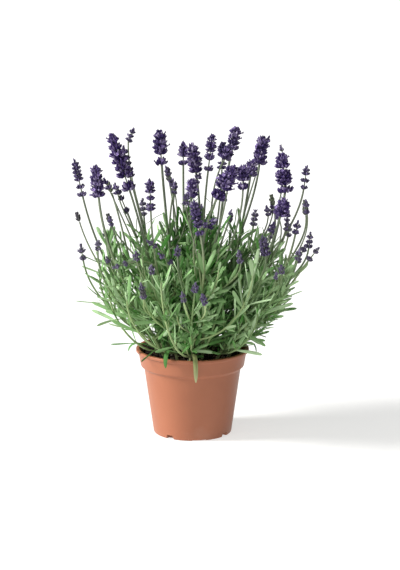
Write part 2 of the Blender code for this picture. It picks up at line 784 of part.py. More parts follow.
def make_head(name, index, surface):
    # A flower head: a slim core in bands, with a whorl of florets raised from each band marked "o".
    foot, tip = spike_ends(index)
    wide, pattern = SPIKES[index][3:]
    ahead = unit(tip - foot)
    side = unit(np.cross(ahead, [0.2, 1.0, 0.1]))
    up = np.cross(ahead, side)
    sides = FLORET_SIDES if wide >= LARGE_SPIKE else SMALL_SIDES
    top = np.linalg.norm(tip - foot) - (FLORET_LIFT * wide * 0.22 + 1.5)
    shell = Shell()
    core = 1.5 if wide >= LARGE_SPIKE else 1.25
    rings = []
    for k in range(len(pattern) + 1):
        height = top * k / len(pattern)
        radius = core * (1.0 if k < len(pattern) else 0.7)
        turns = (np.arange(sides) + 0.5 * (k % 2)) / sides * 2 * np.pi
        spots = [side * np.cos(t) + up * np.sin(t) for t in turns]
        rings.append([shell.add(foot + spot * radius + ahead * height) for spot in spots])
    shell.faces.append(tuple(reversed(rings[0])))
    for k, mark in enumerate(pattern):
        share = (k + 0.5) / len(pattern)
        swell = 1 - 0.45 * max(0.0, (share - 0.45) / 0.55) ** 1.5 - 0.18 * max(0.0, 0.25 - share) / 0.25
        reach = wide / 2 * swell if mark == "o" else 0.0
        floret_whorl(shell, rings[k], rings[k + 1], k % 2, reach, (foot, ahead))
    end = shell.add(tip)
    for i in range(sides):
        shell.faces.append((rings[-1][i], rings[-1][(i + 1) % sides], end))
    add_object(name, shell.build(name), surface)


def make_heads(surface):
    for spray in SEATS:
        blooms = [i for i in spikes_of(spray) if SPIKES[i][4] != "bud"]
        for count, index in enumerate(blooms, 1):
            make_head(f"flower_head_{spray:02d}_{count}", index, surface)


def main():
    for old in list(bpy.data.objects):
        bpy.data.objects.remove(old)
    terracotta = material("terracotta_plastic", (0.50, 0.19, 0.11), 0.5)
    soil = material("potting_soil", (0.02, 0.015, 0.012), 0.95)
    green = material("lavender_green", (0.16, 0.27, 0.11), 0.6)
    violet = material("lavender_violet", (0.07, 0.04, 0.19), 0.7)
    plant = Plant()
    plant.grow()
    make_pot(terracotta)
    make_soil(soil, plant)
    make_sprays(plant, green)
    make_heads(violet)


main()
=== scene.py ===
import json

import bmesh
import bpy
import numpy as np
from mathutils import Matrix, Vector

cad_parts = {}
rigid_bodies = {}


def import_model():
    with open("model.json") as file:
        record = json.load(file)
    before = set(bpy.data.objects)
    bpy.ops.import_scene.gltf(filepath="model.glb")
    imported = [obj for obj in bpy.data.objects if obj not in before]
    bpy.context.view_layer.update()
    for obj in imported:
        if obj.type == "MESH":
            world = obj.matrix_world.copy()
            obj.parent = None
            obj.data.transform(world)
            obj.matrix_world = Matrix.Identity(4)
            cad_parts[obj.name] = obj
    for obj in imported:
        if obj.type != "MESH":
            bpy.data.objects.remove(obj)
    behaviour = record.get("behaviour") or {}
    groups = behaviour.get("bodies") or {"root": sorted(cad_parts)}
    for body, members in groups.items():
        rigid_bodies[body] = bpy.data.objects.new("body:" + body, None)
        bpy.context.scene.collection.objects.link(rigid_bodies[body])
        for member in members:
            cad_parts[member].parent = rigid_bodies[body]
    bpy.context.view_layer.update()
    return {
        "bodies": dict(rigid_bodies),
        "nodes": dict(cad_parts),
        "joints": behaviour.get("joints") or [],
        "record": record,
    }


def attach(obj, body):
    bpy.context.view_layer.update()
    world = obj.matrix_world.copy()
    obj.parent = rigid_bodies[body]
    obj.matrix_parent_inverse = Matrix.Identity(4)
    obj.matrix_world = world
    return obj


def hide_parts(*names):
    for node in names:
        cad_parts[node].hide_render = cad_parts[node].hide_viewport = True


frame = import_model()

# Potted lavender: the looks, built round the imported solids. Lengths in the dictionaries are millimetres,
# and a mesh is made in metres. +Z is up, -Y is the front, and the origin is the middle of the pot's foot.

mm = 0.001

# what the plant grows by: the same rule and the same draws as the solids

growth = {
    "seed": 5,
    "seatGap": 0.3,
    "stemDepth": 16,
    "soilRoom": 1.5,
    "mainRadius": 1.35,
    "tipRadius": 0.9,
    "sideRadius": 1,
    "nodeHeight": 1.8,
    "nodeSpacing": 23,
    "leafyTop": 240,
    "leafyFall": 0.4,
    "longLeaves": 0.9,  # the share of the faces that bear one
    "longLength": (32, 42),
    "longWidth": (3.9, 4.8),
    "shortLeaves": 0.06,
    "shortLength": (19, 27),
    "shortWidth": (3, 3.8),
    "leafAngle": (0.5, 0.85),
    "leafDroop": (-0.25, 0.45),
    "shootLength": (85, 125),
    "shootRise": (0.7, 1.1),
    "leastSpread": 0.3,
    "shootTip": 11,
    "clearance": 0.6,
    "mostBends": 14,
    "bend": 1.1,
    "stemRoom": 0.8,
    "fineNumber": 900,  # the stems that only the scene has are numbered from here
}

potSizes = {
    "height": 99,
    "footRadius": 45,
    "wallTopRadius": 55.6,
    "collarFootRadius": 59.6,
    "collarTopRadius": 62.2,
    "rimRadius": 65,
    "collarFoot": 79.5,
    "shoulder": 76,
    "rimFoot": 95,
    "wall": 1.3,
    "floor": 2.8,
    "standingDisc": 17,
    "notchTurn": -35,  # degrees from the front to the first drainage notch
    "notch": (11, 12, 4.6),
    "arch": (21, 10, 0.9),
    "sides": 168,
    "crease": 40,  # degrees from which an edge is sharp
}

soilSizes = {
    "level": 88,
    "crown": 3,
    "lump": 1.2,
    "rings": 38,
    "turns": 120,
}

# where each spray comes out of the soil
seats = {
    1: (-36, -3), 2: (-31, -18), 3: (-23, 5), 4: (-33, 16), 5: (-17, -30), 6: (-11, 14),
    7: (-6, 35), 8: (3, 17), 9: (-3, -43), 10: (6, 0), 11: (14, 36), 12: (11, -22),
    13: (24, 19), 14: (34, 6), 15: (27, -27), 16: (40, -10), 17: (-24, 35), 18: (30, 34),
}

# each flower spike: its spray, its tip's x, y and z, its foot's x and z, its width, and its whorls from the
# foot up, where "o" is a whorl of florets, "." a bare stretch and "bud" a green bud
spikes = [
    (1, (-133, -10, 320), (-124, 278), 11, "o.o.ooooo"),
    (1, (-133, 30, 251), (-130, 241), 6, "bud"),
    (1, (-126, -30, 227), (-123, 207), 9, "oo"),
    (2, (-107, -50, 320), (-104, 283), 15, "ooooo"),
    (2, (-104, -60, 238), (-105, 225), 8, "oo"),
    (3, (-92, 0, 348), (-71, 282), 19, "o.oooooo"),
    (3, (-96, -10, 257), (-92, 245), 6, "bud"),
    (3, (-67, 60, 346), (-74, 330), 9, "ooo"),
    (4, (-88, 40, 281), (-75, 249), 9, "o.oo"),
    (4, (-98, 60, 281), (-94, 270), 6, "bud"),
    (5, (-47, -60, 306), (-46, 270), 12, "oo.o.ooo"),
    (5, (-62, -90, 231), (-61, 219), 8, "oo"),
    (5, (-44, -112, 220), (-44, 208), 8, "oo"),
    (5, (-54, -110, 191), (-53, 181), 6, "bud"),
    (6, (-38, 20, 349), (-35, 309), 16, "o.oooo"),
    (6, (-30, 70, 298), (-27, 281), 7, "bud"),
    (7, (-11, 95, 324), (-11, 298), 12, "o.ooo"),
    (7, (-20, 50, 282), (-22, 272), 6, "bud"),
    (8, (-1, 40, 331), (4, 297), 16, "ooooo"),
    (8, (0, -30, 302), (-1, 280), 14, "ooo"),
    (9, (1, -85, 286), (9, 247), 12, "o.oooooo"),
    (9, (-16, -100, 239), (-16, 226), 9, "oo"),
    (9, (4, -122, 202), (3, 190), 8, "oo"),
    (9, (26, -20, 250), (19, 247), 6, "bud"),
    (10, (23, 30, 343), (18, 301), 13, "o..o.oooo"),
    (10, (35, 65, 329), (34, 297), 12, "oo.ooo"),
    (10, (45, 50, 244), (41, 234), 6, "bud"),
    (11, (52, 95, 342), (46, 315), 14, "oooo"),
    (11, (10, 125, 245), (11, 228), 9, "ooo"),
    (12, (42, -50, 310), (28, 282), 19, "oo.ooo"),
    (12, (57, -10, 314), (57, 286), 15, "o.ooo"),
    (12, (12, -118, 187), (12, 178), 6, "bud"),
    (13, (70, 55, 310), (67, 291), 14, "ooo"),
    (13, (82, 85, 333), (78, 299), 16, "ooooo"),
    (13, (91, 60, 267), (94, 254), 6, "bud"),
    (14, (101, 20, 323), (106, 278), 20, "o.oooo.ooo"),
    (14, (132, 40, 305), (128, 278), 11, "o.o.oo"),
    (14, (110, 20, 245), (107, 232), 8, "oo"),
    (14, (93, 10, 238), (89, 225), 8, "oo"),
    (15, (103, -60, 284), (98, 264), 16, "ooo"),
    (15, (77, -80, 242), (80, 228), 8, "oo"),
    (15, (98, -85, 215), (99, 203), 8, "oo"),
    (16, (118, -50, 258), (115, 241), 10, "oo"),
    (16, (126, -20, 275), (128, 257), 7, "bud"),
    (16, (135, 10, 233), (133, 214), 10, "ooo"),
    (16, (144, -10, 219), (132, 203), 9, "o.o"),
    (16, (120, -60, 228), (117, 213), 9, "oo"),
    (17, (-60, 110, 254), (-58, 234), 10, "ooo"),
    (17, (-105, 95, 219), (-102, 205), 8, "oo"),
    (17, (-20, 130, 204), (-20, 193), 6, "bud"),
    (18, (75, 120, 239), (72, 220), 10, "ooo"),
    (18, (115, 85, 228), (112, 213), 9, "oo"),
]

# small spikes that the solids leave out, in the same terms
lateSpikes = [
    (3, (-94, -20, 256), (-91, 245), 7, "oo"),
    (5, (-50, -75, 240), (-40, 231), 8, "oo"),
    (5, (-38, -85, 227), (-22, 214), 8, "o.o"),
    (9, (28, -70, 262), (13, 254), 8, "o.o"),
    (12, (44, -35, 267), (41, 255), 7, "oo"),
    (13, (85, 30, 260), (87, 248), 8, "oo"),
    (15, (93, -15, 268), (98, 252), 9, "oo"),
    (14, (111, 25, 255), (108, 242), 8, "oo"),
    (11, (44, 60, 324), (37, 309), 14, "oo"),
    (8, (9, 35, 298), (4, 285), 9, "oo"),
    (9, (-6, -60, 291), (-7, 276), 9, "oo"),
    (5, (-56, -112, 200), (-53, 180), 8, "o.o"),
    (9, (-11, -122, 192), (-9, 179), 7, "oo"),
    (9, (11, -128, 191), (14, 177), 8, "oo"),
    (12, (50, -100, 234), (53, 218), 8, "oo"),
    (15, (93, -85, 206), (92, 196), 6, "o"),
    (16, (128, -30, 227), (119, 205), 9, "o.o"),
    (2, (-88, -85, 210), (-72, 215), 8, "o.o"),
    (2, (-96, -60, 219), (-93, 210), 6, "o"),
    (4, (-103, 40, 291), (-96, 277), 8, "oo"),
    (3, (-79, 15, 332), (-71, 295), 11, "ooooo"),
    (13, (90, 95, 331), (83, 313), 8, "ooo"),
    (12, (47, -52, 320), (41, 306), 16, "oo"),
    (14, (101, 48, 328), (103, 320), 6, "o"),
    (6, (-31, 60, 301), (-23, 278), 9, "oo.oo"),
    (7, (-20, 46, 285), (-21, 270), 8, "oo"),
    (4, (-90, 38, 285), (-86, 272), 10, "oo"),
    (9, (24, -40, 258), (18, 247), 11, "oo"),
    (15, (92, -30, 252), (88, 240), 9, "oo"),
    (16, (127, -26, 277), (129, 260), 8, "oo"),
    (15, (77, -84, 247), (81, 224), 11, "oooo"),
    (13, (92, 58, 259), (93, 246), 8, "oo"),
]

# the leaves that hang over the pot's rim, by their spray: the tip and the tone, over 1 for a dry one
hanging = {
    2: ((-73, -26, 101), 0.22),
    5: ((-30, -64, 91), 0.08),
    9: ((4, -71, 76), 2),
    16: ((73, -14, 96), 0.15),
}

allSpikes = spikes + lateSpikes
upward = np.array([0, 0, 1])


def unit(vector):
    return vector / np.linalg.norm(vector)


def square(vector, way):
    # the unit vector nearest to this one that is square to a way
    return unit(vector - way * (vector @ way))


def units(vectors):
    return vectors / np.maximum(np.linalg.norm(vectors, axis=-1, keepdims=True), 1e-9)


def turned(vector, axis, angle):
    # Rodrigues' rotation about a unit axis, by an angle in radians
    part = np.cross(axis, vector) * np.sin(angle)
    return vector * np.cos(angle) + part + axis * (axis @ vector) * (1 - np.cos(angle))


def curvePoints(controls, steps):
    # the Bezier curve of these control points: each step blends neighbours by t until one point is left
    t = np.linspace(0, 1, steps)[:, None]
    points = [np.broadcast_to(np.array(c, float), (steps, 3)) for c in controls]
    while len(points) > 1:
        points = [a + (b - a) * t for a, b in zip(points, points[1:])]
    return points[0]


def lengthsAlong(points):
    return np.append(0, np.cumsum(np.linalg.norm(np.diff(points, axis=0), axis=1)))


def spikesOf(spray):
    return [i for i, spike in enumerate(spikes) if spike[0] == spray]


def spikeEnds(index):
    _, tip, (x, z), _, _ = allSpikes[index]
    return np.array([x, tip[1] * 0.94, z], float), np.array(tip, float)


def around(frame, angle):
    # the first way of the frame times cos a + the second times sin a
    return frame[0] * np.cos(angle) + frame[1] * np.sin(angle)


def best(make, tries):
    # the first draw that has room, or else the roomiest
    found = None
    for attempt in range(tries):
        candidate = make(attempt)
        if found is None or candidate[0] > found[0]:
            found = candidate
        if found[0] > 0:
            break
    return found


def soilHeight(x, y):
    # level + crown times one less the squared share of the radius + a low wave both ways
    lumps = soilSizes["lump"] * np.sin(0.11 * x + 1) * np.cos(0.13 * y)
    fall = (x * x + y * y) / potSizes["collarFootRadius"] ** 2
    return soilSizes["level"] + soilSizes["crown"] * (1 - fall) + lumps


def rodDistances(a, b, c, d):
    # the distance from each segment a-b to each segment c-d, a row for each a-b
    along = (b - a)[:, None]
    other = (d - c)[None]
    between = a[:, None] - c[None]
    aa = np.maximum((along**2).sum(2), 1e-9)
    bb = np.maximum((other**2).sum(2), 1e-9)
    ab = (along * other).sum(2)
    ar = (along * between).sum(2)
    br = (other * between).sum(2)
    spread = aa * bb - ab * ab
    s = np.where(spread > 1e-9, np.clip((ab * br - ar * bb) / np.maximum(spread, 1e-9), 0, 1), 0)
    t = np.clip((ab * s + br) / bb, 0, 1)
    s = np.clip((ab * t - ar) / aa, 0, 1)
    return np.linalg.norm(between + s[..., None] * along - t[..., None] * other, axis=2)


def bladeRoom(width):
    return width * 0.44 + 0.2


def arc(root, first, second, size):
    # a leaf's middle line: half of the size the first way and half of it the second way
    middle = root + first * size * 0.5
    return root, middle, middle + second * size * 0.5


class Crowd:
    # everything grown so far, as round-ended rods, each with its spray and its stem
    def __init__(self):
        self.starts, self.ends = np.zeros((2, 0, 3))
        self.radii, self.sprays, self.stems = np.zeros((3, 0))

    def add(self, points, radius, spray, stem):
        rods = np.ones(len(points) - 1)
        self.starts = np.vstack([self.starts, points[:-1]])
        self.ends = np.vstack([self.ends, points[1:]])
        self.radii = np.append(self.radii, radius * rods)
        self.sprays = np.append(self.sprays, spray * rods)
        self.stems = np.append(self.stems, stem * rods)

    def room(self, points, radius, spray, ownPoints, ownStem=None):
        # the smallest gap from a new chain of rods to the others, less the clearance that it needs
        others = self.sprays != spray
        gaps = []
        for chain, mask in ((points, others), (ownPoints, ~others & (self.stems != ownStem))):
            if mask.any():
                apart = rodDistances(chain[:-1], chain[1:], self.starts[mask], self.ends[mask])
                gaps.append((apart - self.radii[mask][None]).min())
        return min(gaps) - radius - growth["clearance"]


def potRoom(points, radius, margin=0.5):
    # the room to the pot and the soil: above the rim, inside it or outside it
    x, y, z = points.T
    reach = np.hypot(x, y)
    wall = potSizes["collarFootRadius"] - 2 * potSizes["wall"] - reach - radius
    inside = np.minimum(wall, z - radius - soilHeight(x, y) - growth["soilRoom"])
    above = z - radius - potSizes["height"] - margin
    outside = reach - radius - potSizes["rimRadius"] - margin
    return np.maximum(np.maximum(above, inside), outside).min()


class Stem:
    # a square stem along a path, with short nodes that carry leaves and side stems on four faces
    def __init__(self, number, spray, points, radii, bands, reference=None, spike=None):
        self.number, self.spray, self.spike = number, spray, spike
        self.points, self.along = points, lengthsAlong(points)
        self.length = self.along[-1]
        self.radii, self.bands, self.reference = radii, bands, reference
        self.isFine = number >= growth["fineNumber"]
        self.children, self.parent = {}, None
        self.stations = self.stationLengths()
        if reference is not None:
            self.frames = self.framesAt(self.stations, reference)

    def bear(self, sideStem, band, face):
        sideStem.parent = self
        sideStem.reference = self.faceSide(band, face)
        sideStem.frames = sideStem.framesAt(sideStem.stations, sideStem.reference)
        self.children[(band, face)] = sideStem

    def at(self, length):
        return np.array([np.interp(length, self.along, self.points[:, i]) for i in range(3)])

    def direction(self, length):
        near, far = max(length - 2, 0), min(length + 2, self.length)
        return unit(self.at(far) - self.at(near))

    def radius(self, length):
        return np.interp(length / self.length, (0, 1), self.radii)

    def stationLengths(self):
        half = growth["nodeHeight"] / 2
        marks = [0, *(band + side for band in self.bands for side in (-half, half)), self.length]
        found = [0]
        for low, high in zip(marks, marks[1:]):
            parts = max(1, int(round((high - low) / 40)))
            found += list(np.linspace(low, high, parts + 1)[1:])
        return found

    def framesAt(self, stations, reference):
        frames = []
        side = reference
        for length in stations:
            ahead = self.direction(length)
            side = square(side, ahead)
            frames.append((self.at(length), ahead, side, np.cross(ahead, side), self.radius(length)))
        return frames

    def bandFrame(self, band):
        foot = self.bands[band] - growth["nodeHeight"] / 2
        return self.frames[int(np.argmin([abs(s - foot) for s in self.stations]))]

    def faceDirection(self, band, face):
        _, _, side, up, _ = self.bandFrame(band)
        return (-up, side, up, -side)[face]

    def faceSide(self, band, face):
        return self.faceDirection(band, (face + 1) % 4)

    def freeFace(self, band, wanted):
        free = [f for f in range(4) if (band, f) not in self.children]
        return max(free, key=lambda f: self.faceDirection(band, f) @ wanted) if free else None

    def leafRoot(self, band, face):
        # where a leaf starts on this face, the stem's way there and the face's own way
        centre, ahead, _, _, radius = self.bandFrame(band)
        facing = self.faceDirection(band, face)
        return centre + ahead * growth["nodeHeight"] / 2 + facing * radius * 0.7, ahead, facing


class Plant:
    # the stems, shoots and leaves of the solids, each kept clear of what has grown before
    def __init__(self):
        self.rng = np.random.default_rng(growth["seed"])
        self.draw = self.rng.uniform
        self.crowd = Crowd()
        self.stems, self.leaves = [], []

    def growStem(self, spray, start, way, index, radii, reach):
        # a cubic curve to the spike's foot, bent more at each try until it clears what has grown
        foot, tip = spikeEnds(index)
        headWay = unit(tip - foot)
        end = foot - headWay * growth["seatGap"]
        span = np.linalg.norm(end - start)
        isSide = radii[0] < growth["mainRadius"]
        thick = radii[0] + growth["stemRoom"]

        def make(attempt):
            bends = min(attempt, growth["mostBends"]) * growth["bend"]
            low, high = self.rng.normal(0, 1, (2, 3)) * [1, 1, 0.3] * bends
            low *= 0.5 if isSide else 1
            controls = (start, start + way * reach * span + low, end - headWay * 0.36 * span + high, end)
            points = curvePoints(controls, 41)
            rods = points[::4]
            crowd = self.crowd.room(rods[:-1], thick, spray, rods[2 if isSide else 1 : -1])
            return min(crowd, potRoom(points[2:], thick)), points

        points = best(make, 60)[1]
        self.crowd.add(points[::4], radii[0] + 0.1, spray, len(self.stems))
        return points

    def nodeLengths(self, points, first, most):
        along, found, length = lengthsAlong(points), [], first
        while len(found) < most and length < along[-1] - 30:
            x, y, z = (np.interp(length, along, points[:, i]) for i in range(3))
            if z > growth["leafyTop"] - growth["leafyFall"] * np.hypot(x, y):
                break
            found.append(length)
            length += growth["nodeSpacing"] * self.draw(0.85, 1.15)
        return found

    def growSprays(self):
        depth = growth["stemDepth"]
        for spray, (x, y) in seats.items():
            index = spikesOf(spray)[0]
            seat = np.array([x, y, soilHeight(x, y)])
            way = unit((spikeEnds(index)[0] - seat) * [1.25, 1.25, 1])
            radii = (growth["mainRadius"], growth["tipRadius"])
            points = self.growStem(spray, seat, way, index, radii, 0.36)
            points = np.vstack([seat - way * depth, points])
            bands = self.nodeLengths(points, depth + 10, 6)
            reference = turned(unit(np.cross(way, [0.3, 0.9, 0.1])), way, self.draw(0, 1.57))
            self.stems.append(Stem(len(self.stems), spray, points, radii, bands, reference, index))
        for spray in seats:
            self.growSideStems(spray)

    def growSideStems(self, spray):
        # the stems of a spray's other spikes, from its main stem's nodes, the lowest spike's first
        main = next(s for s in self.stems if s.spray == spray)
        radii = (growth["sideRadius"], growth["tipRadius"] * 0.9)
        lowestFirst = sorted(spikesOf(spray)[1:], key=lambda i: spikeEnds(i)[0][2])
        for order, index in enumerate(lowestFirst):
            band = min(1 + order, len(main.bands) - 1)
            place = main.bands[band]
            start = main.at(place)
            goal = unit(spikeEnds(index)[0] - start)
            face = main.freeFace(band, goal)
            way = unit(main.faceDirection(band, face) * 0.75 + main.direction(place) * 0.5 + goal)
            points = self.growStem(spray, start, way, index, radii, 0.3)
            bands = self.nodeLengths(points, 18, 3)
            side = Stem(len(self.stems), spray, points, radii, bands, None, index)
            main.bear(side, band, face)
            self.stems.append(side)

    def growLeafyShoot(self, main, band, length, rise):
        start, along = main.at(main.bands[band]), main.direction(main.bands[band])
        outward = unit(start * [1, 1, 0] + 1e-3)
        thick = 2.2

        def make(attempt):
            way = turned(outward, upward, self.rng.normal(0, 0.5 + 0.08 * attempt))
            face = main.freeFace(band, way)
            if face is None:
                return -99, None, None, None
            first = unit(main.faceDirection(band, face) + way * 0.7 + along * 0.5)
            goal = start + way * length * np.cos(rise) + upward * (length * np.sin(rise))
            controls = (start, start + first * 0.4 * length, goal - upward * (0.3 * length), goal)
            points = curvePoints(controls, 25)
            rods = np.vstack([points[::4], goal + upward * growth["shootTip"]])
            crowd = self.crowd.room(rods, thick, main.spray, rods[2:])
            return min(crowd, potRoom(points[2:], thick)), points, rods, face

        room, points, rods, face = best(make, 40)
        if room < 0:
            return
        radii = (growth["sideRadius"], growth["tipRadius"] * 0.8)
        bands = list(np.linspace(0.36, 0.94, 3) * lengthsAlong(points)[-1])
        shoot = Stem(len(self.stems), main.spray, points, radii, bands)
        self.crowd.add(rods, 1.1, main.spray, shoot.number)
        main.bear(shoot, band, face)
        self.stems.append(shoot)

    def growLeaf(self, stem, band, face, length, width, angle, droop):
        root, ahead, facing = stem.leafRoot(band, face)
        thick = bladeRoom(width)

        def make(attempt):
            spread = max(growth["leastSpread"], angle + self.rng.normal(0, 0.05 + 0.03 * attempt))
            turn = self.rng.normal(0, 0.12 + 0.05 * attempt)
            outward = turned(facing, ahead, np.clip(turn, -0.75, 0.75))
            first = around((ahead, outward), spread)
            bend = first - upward * (droop + self.rng.normal(0, 0.12))
            controls = arc(root, first, unit(bend), length * (1 - 0.012 * attempt))
            points = curvePoints(controls, 9)
            crowd = self.crowd.room(points[::2], thick, stem.spray, points[2::2], stem.number)
            return min(crowd, potRoom(points[1:], thick)), controls

        room, controls = best(make, 14)
        if room >= 0:
            self.addLeaf(stem, band, face, controls, width)

    def addLeaf(self, stem, band, face, controls, width):
        points = curvePoints(controls, 9)
        self.crowd.add(points[[1, 3, 5, 8]], bladeRoom(width), stem.spray, 10000 + len(self.leaves))
        stem.children[(band, face)] = True
        leaf = {"spray": stem.spray, "stem": stem.number, "controls": controls, "width": width}
        leaf.update(side=stem.faceSide(band, face), ahead=stem.bandFrame(band)[1])
        self.leaves.append(leaf)

    def hangLeaf(self, stem, tip, width, tone):
        outward = unit(tip * [1, 1, 0])
        face = stem.freeFace(0, outward)
        root = stem.leafRoot(0, face)[0]
        arch = outward * (potSizes["rimRadius"] + 9) + upward * (potSizes["height"] + 21)
        self.addLeaf(stem, 0, face, (root, arch, tip), width)
        self.leaves[-1].update(side=np.cross(outward, upward), tone=tone, width=width * 1.2)

    def growLeaves(self):
        # long and short pairs take turns up each stem, and get shorter and more upright with height
        for stem in self.stems:
            for band, place in enumerate(stem.bands):
                young = np.clip((stem.at(place)[2] - 100) / 130, 0, 1)
                longer = (band + stem.number) % 2
                for face in range(4):
                    if (band, face) in stem.children:
                        continue
                    kind = "long" if face % 2 == longer else "short"
                    if self.rng.random() > growth[kind + "Leaves"]:
                        continue
                    length = self.draw(*growth[kind + "Length"]) * (1 - 0.25 * young)
                    width = self.draw(*growth[kind + "Width"])
                    angle = self.draw(*growth["leafAngle"]) - 0.12 * young
                    droop = self.draw(*growth["leafDroop"]) - 0.25 * young
                    self.growLeaf(stem, band, face, length, width, angle, droop)

    def grow(self):
        for index, spike in enumerate(spikes):
            self.crowd.add(np.array(spikeEnds(index)), spike[3] / 2, -1 - index, -1)
        self.growSprays()
        mains = [s for s in self.stems if s.parent is None]
        for main in mains:
            for band in range(min(1 + main.spray % 2, len(main.bands))):
                length, rise = self.draw(*growth["shootLength"]), self.draw(*growth["shootRise"])
                self.growLeafyShoot(main, band, length, rise)
        for spray, (tip, tone) in hanging.items():
            self.hangLeaf(mains[spray - 1], np.array(tip, float), 4.4, tone)
        self.growLeaves()


# the finer growth, which the solids leave out

filling = {
    "seed": 21,
    "tuftShare": 0.85,  # of the leaves that have small ones in their axil
    "tuftLength": (9, 19),
    "midLeaves": 0.9,  # of the places between two nodes that hold a pair
    "midLength": (20, 34),
    "highSpacing": 21,  # between pairs on a flower's stem above its leafy nodes
    "highShare": 0.42,
    "highest": 254,
    "shootsEach": 14,
    "shootLength": (34, 78),
    "lowShoots": 24,
    "lowTurn": 2.39996,  # radians from one to the next
    "lowReach": (12, 38),
    "lowLength": (22, 44),
    "thinning": 0.2,  # the share of the reach over which the growth gets sparser
    "airyLeft": 1.1,  # the same, added at the left
    "airyTop": 0.8,  # and towards the top
    "clearings": ((-75, -33, 110), (-12, 44, 96)),  # where the soil shows in front: x from, x to, z below
    "touch": -1.4,  # how far a small leaf may reach into its neighbour's room
    "middle": 5,  # the foliage's axis stands this far to the right
    "shootTries": 6,
    "lateNumber": 950,  # the stems of the late spikes are numbered from here
}

# how far from the axis the foliage reaches at each height
foliageEdge = {
    "heights": (88, 96, 104, 116, 130, 160, 190, 215, 240, 265, 290),
    "radii": (48, 54, 70, 88, 102, 124, 136, 124, 96, 64, 30),
}


